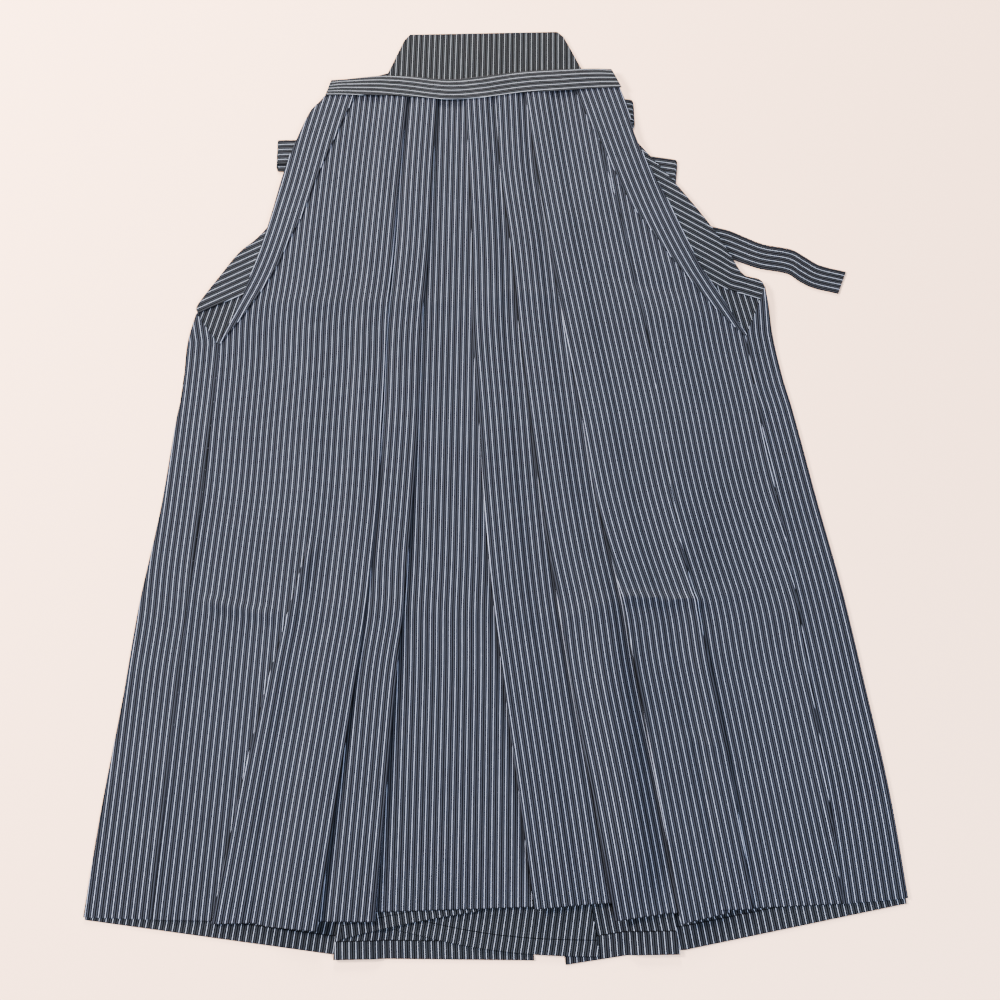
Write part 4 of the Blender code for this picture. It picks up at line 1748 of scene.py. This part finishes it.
@dataclass
class WaistBoard:
    """The stiff back board in its tight cover."""

    grain: LeaningGrain = LeaningGrain(-5.0, 489.0, 2.0)
    row_count: int = 34
    column_count: int = 80

    def build(self, finish: bpy.types.Material) -> bpy.types.Object:
        """Makes and places the board.

        Args:
            finish: Its cloth.

        Returns:
            The new object.
        """
        heights = BOARD_SIDES.column("y")
        low, high = heights[0], heights[-1]
        near = np.array([0.0, 0.3, 0.7, 1.2, 2.0, 3.2])
        y = np.concatenate([low + near, np.linspace(low + 5, high - 5, self.row_count), high - near[::-1]])
        from_side = np.concatenate([near, [5.0]])
        left, right = (np.interp(y, heights, BOARD_SIDES.column(name)) for name in ("left", "right"))
        middle_part = np.linspace(0.0, 1.0, self.column_count)[None, :]
        inside = mix(left[:, None] + 5.0, right[:, None] - 5.0, middle_part)
        x = np.concatenate(
            [left[:, None] + from_side[None, :-1], inside, right[:, None] - from_side[None, :-1][:, ::-1]],
            axis=1,
        )
        edge = np.minimum(
            np.minimum(x - left[:, None], right[:, None] - x),
            np.minimum(y - low, high - y)[:, None],
        )
        rounded = np.sqrt(np.clip(1.0 - (1.0 - np.clip(edge / BOARD_EDGE, 0.0, 1.0)) ** 2, 0.0, 1.0))
        crown = 0.25 * smooth_share(edge, 0.0, 30.0)
        upper = BOARD_THICKNESS - 0.4 - BOARD_EDGE * (1.0 - rounded) * 0.9 + crown
        lower = 0.9 * (1.0 - rounded)
        ys = np.broadcast_to(y[:, None], x.shape)
        threads = np.stack([self.grain(x, ys), -ys], -1)
        item = closed_pair(
            "back_waist_board_cover",
            np.stack([x, ys, upper], -1),
            np.stack([x, ys, lower], -1),
            threads,
            finish,
        )
        width = (max(right) - min(left)) * MM
        length = (high - low) * MM
        area = float(np.sum(np.diff(y) * (right[1:] + right[:-1] - left[1:] - left[:-1]) / 2)) * MM * MM
        return settle(
            item, "back_waist_board", (width, length, area), Held.STRETCHED, ["floor"]
        )


@dataclass
class Tie:
    """A flat tie, lying on the ground or folded on itself."""

    name: str
    node: str
    table: Table
    rests_on: tuple[str, ...]
    phase: float = 1.0
    spacing: float = 5.0
    width_count: int = 9
    thickness: float = 0.9

    def build(self, finish: bpy.types.Material) -> bpy.types.Object:
        """Lays and places the tie.

        Args:
            finish: Its cloth.

        Returns:
            The new object.
        """
        rows = np.array(self.table.rows)
        middles = np.column_stack([(rows[:, 0] + rows[:, 2]) / 2, (rows[:, 1] + rows[:, 3]) / 2, rows[:, 4]])
        steps = np.linalg.norm(np.diff(middles, axis=0), axis=1)
        at = np.concatenate([[0.0], np.cumsum(steps)])
        places = [np.array([0.0])]
        for start, step in zip(at, steps):
            count = max(int(math.ceil(step / self.spacing)), 4 if step < 12.0 else 2)
            places.append(start + np.linspace(0.0, step, count + 1)[1:])
        walked = np.concatenate(places)
        lines = [SmoothLine(tuple(at), tuple(values)) for values in rows.T]
        top_x, top_y, bottom_x, bottom_y, z = (line(walked) for line in lines)
        across = np.linspace(0.0, 1.0, self.width_count)[:, None]
        x, y = mix(top_x, bottom_x, across), mix(top_y, bottom_y, across)
        height = np.broadcast_to(z, x.shape)
        width = float(np.hypot(rows[0, 0] - rows[0, 2], rows[0, 1] - rows[0, 3]))
        threads = np.stack(
            [np.broadcast_to(self.phase + width * across, x.shape), np.broadcast_to(walked, x.shape)], -1
        )
        sheet = Sheet(self.name, np.stack([x, y, height], -1), threads, thickness=self.thickness)
        return settle(
            sheet.build(finish), self.node, sheet.cut(), Held.FOLDED, self.rests_on
        )


@dataclass
class Studio:
    """The pale floor, the soft lights and the camera above the garment."""

    floor_size: float = 5.0
    target: tuple[float, float, float] = (0.0055, -0.067, 0.005)
    distance: float = 1.0648
    tilt: float = 15.0
    roll: float = 1.1
    lens: float = 36.1

    def floor(self) -> bpy.types.Object:
        """The sheet of pale paper under the garment."""
        material = bpy.data.materials.new("pale_paper")
        material.use_nodes = True
        shader = material.node_tree.nodes["Principled BSDF"]
        shader.inputs["Roughness"].default_value = 0.9
        shader.inputs["Base Color"].default_value = (0.95, 0.57, 0.375, 1.0)
        half = self.floor_size / 2
        signs = ((-1, -1), (1, -1), (1, 1), (-1, 1))
        corners = [(half * across, half * along, FLOOR_Z) for across, along in signs]
        mesh = bpy.data.meshes.new("floor")
        mesh.from_pydata(corners, [], [(0, 1, 2, 3)])
        mesh.materials.append(material)
        item = bpy.data.objects.new("floor", mesh)
        bpy.context.scene.collection.objects.link(item)
        return item

    def light(
        self,
        name: str,
        at: tuple[float, float, float],
        size: float,
        power: float,
        colour: tuple[float, float, float],
    ) -> None:
        """Hangs one square soft light aimed at the garment.

        Args:
            name: The light's name.
            at: Its place in metres.
            size: Its side in metres.
            power: Its power in watts.
            colour: Its colour.
        """
        lamp = bpy.data.lights.new(name, "AREA")
        lamp.shape = "SQUARE"
        lamp.size = size
        lamp.energy = power
        lamp.color = colour
        item = bpy.data.objects.new(name, lamp)
        item.location = at
        aim = np.subtract(self.target, at)
        item.rotation_euler = Vector(aim).to_track_quat("-Z", "Y").to_euler()
        bpy.context.scene.collection.objects.link(item)

    def lights(self) -> None:
        """The main light from the left, two weaker ones above and below, and the pale room."""
        self.light("key_light", (-2.2, 0.6, 1.55), 0.7, 415.0, (1.0, 0.975, 0.965))
        self.light("top_light", (-0.3, 2.7, 1.1), 0.7, 385.0, (1.0, 0.965, 0.92))
        self.light("low_light", (0.95, -1.6, 1.8), 0.9, 172.0, (0.78, 0.93, 1.18))
        world = bpy.data.worlds.new("room")
        world.use_nodes = True
        world.node_tree.nodes["Background"].inputs["Color"].default_value = (0.93, 0.95, 1.0, 1.0)
        world.node_tree.nodes["Background"].inputs["Strength"].default_value = 0.35
        bpy.context.scene.world = world

    def camera(self) -> None:
        """The camera above the garment, tilted and slightly turned."""
        tilt = math.radians(self.tilt)
        back = Vector((0.0, -math.sin(tilt), math.cos(tilt)))
        upward = Vector((0.0, math.cos(tilt), math.sin(tilt)))
        across = Vector((1.0, 0.0, 0.0))
        roll = math.radians(self.roll)
        right = across * math.cos(roll) - upward * math.sin(roll)
        up = upward * math.cos(roll) + across * math.sin(roll)
        data = bpy.data.cameras.new("camera")
        data.lens = self.lens
        data.sensor_width = 36.0
        item = bpy.data.objects.new("camera", data)
        spot = Vector(self.target) + back * self.distance
        turn = Matrix((right, up, back)).transposed().to_4x4()
        item.matrix_world = Matrix.Translation(spot) @ turn
        bpy.context.scene.collection.objects.link(item)
        bpy.context.scene.camera = item


# The same striped cloth on each group of pieces: its ground, pale line and middle line. The copies stand in
# for how each group is lit: the inner pieces, which lie under other cloth, the board and the ties take
# darker copies as painted shade, and the band's and the board's copies are less blue.
FINISHES = (
    StripedCloth("leg_cloth", (0.0072, 0.0077, 0.0105), (0.29, 0.31, 0.40), (0.032, 0.034, 0.044)),
    StripedCloth("inner_cloth", (0.0056, 0.0058, 0.0072), (0.27, 0.285, 0.34), (0.025, 0.027, 0.032)),
    StripedCloth("waist_cloth", (0.0072, 0.0074, 0.0085), (0.30, 0.31, 0.345), (0.032, 0.033, 0.037)),
    StripedCloth("board_cloth_shaded", (0.0046, 0.0048, 0.0054), (0.215, 0.225, 0.245), (0.021, 0.022, 0.0245)),
    StripedCloth("tie_cloth", (0.0058, 0.0061, 0.0072), (0.26, 0.28, 0.34), (0.026, 0.027, 0.032)),
)


def main() -> None:
    """Builds the garment and the studio, piece by piece."""
    studio = Studio()
    studio.floor()
    studio.lights()
    studio.camera()
    leg, inner, waist, board, tie = (finish.material() for finish in FINISHES)
    pieces = (
        (WaistBoard(), board),
        (Waistband(), waist),
        (
            FrontLeg(
                Side.LEFT,
                -477.0,
                (
                    Fold("left_turn", -481.0, -479.5),
                    Fold("left_second", -488.5, -480.0, -484.5),
                    Fold("left_first", -481.0, -473.0, -480.5),
                ),
            ),
            leg,
        ),
        (
            FrontLeg(
                Side.RIGHT,
                -474.0,
                (
                    Fold("right_turn", -477.0, -477.0),
                    Fold("right_third", -488.0, -479.0, -480.0, 4.0, 20.0),
                    Fold("right_second", -484.5, -469.0, -479.5, 2.2, 9.0),
                    Fold("right_first", -472.8, -471.0, -470.0, 2.2, 9.0),
                ),
            ),
            leg,
        ),
        (
            SidePanel(
                Side.LEFT, 156.0, -473.0, -476.0, True,
                LeaningGrain(-325.0, 122.0, -10.0), LEFT_SIDE_STRAY,
            ),
            leg,
        ),
        (
            SidePanel(
                Side.RIGHT, 176.0, -470.0, -474.0, False,
                LeaningGrain(302.0, 122.0, 0.0), RIGHT_SIDE_STRAY,
            ),
            leg,
        ),
        (
            SideFold(
                Side.LEFT,
                ((450.0, 15.0), (380.0, 12.0), (300.0, 12.0), (200.0, 18.0), (118.0, 30.0)),
            ),
            leg,
        ),
        (
            SideFold(
                Side.RIGHT, ((450.0, -13.0), (300.0, -17.0), (200.0, -24.0), (118.0, -32.0))
            ),
            leg,
        ),
        (
            LaidPiece(
                "left_facing_cloth", "left_side_facing", LEFT_FACING, 1.0,
                LeaningGrain(-290.0, 203.0, 64.0),
                True, ("back_left_cloth",),
            ),
            inner,
        ),
        (
            LaidPiece(
                "right_facing_cloth", "right_side_facing", RIGHT_FACING, 1.0,
                ChangingGrain(
                    RIGHT_FACING_GRAIN,
                    LeaningGrain(275.0, 195.0, -70.0).counted_on(RIGHT_FACING_GRAIN),
                    -262.0,
                    -282.0,
                    True,
                ),
                True, ("back_right_cloth",),
            ),
            inner,
        ),
        (
            BackLeg(
                Side.LEFT,
                (-475.5, -509.8, -511.0, -515.0, -519.0),
                LeaningGrain(-298.0, 152.0, 16.0),
                LeaningGrain(-195.0, -487.0, 12.0),
                LeaningGrain(-104.0, -497.0, 8.0),
                LeaningGrain(-195.0, -502.0, 8.0),
                LeaningGrain(-78.0, -510.0, -2.0),
                15.5,
            ),
            inner,
        ),
        (
            BackLeg(
                Side.RIGHT,
                (-475.0, -512.5, -513.5, -516.0, -523.5),
                LeaningGrain(275.0, 148.0, -12.0),
                LeaningGrain(189.0, -490.0, -12.0),
                LeaningGrain(135.0, -493.0, -9.0),
                LeaningGrain(194.0, -502.0, -8.0),
                LeaningGrain(129.0, -510.0, -2.0),
                20.0,
            ),
            inner,
        ),
        (
            LaidPiece(
                "left_inner_leg_cloth", "left_inner_leg", LEFT_INNER_LEG, 3.0,
                LeaningGrain(-105.0, -482.0, -9.0), False, ("right_inner_leg_cloth",),
                LeaningGrain(-105.0, -482.0, -8.0), 18.0, -2.0,
            ),
            inner,
        ),
        (
            LaidPiece(
                "right_inner_leg_cloth", "right_inner_leg", RIGHT_INNER_LEG, 1.0,
                LeaningGrain(28.0, -487.0, 10.0), False,
                ("back_left_cloth", "back_right_cloth"),
                LeaningGrain(10.0, -503.0, 11.0), 19.0, 7.0,
            ),
            inner,
        ),
        (Tie("left_back_tie_cloth", "left_back_tie", LEFT_BACK_TIE, ("floor",)), tie),
        (Tie("left_front_tie_cloth", "left_front_tie", LEFT_FRONT_TIE, ("floor",)), tie),
        (Tie("right_front_tie_cloth", "right_front_tie", RIGHT_FRONT_TIE, ("floor",)), tie),
        (Tie("right_back_tie_cloth", "right_back_tie", RIGHT_BACK_TIE, ("floor",)), tie),
    )
    for piece, finish in pieces:
        piece.build(finish)


if __name__ == "__main__":
    main()
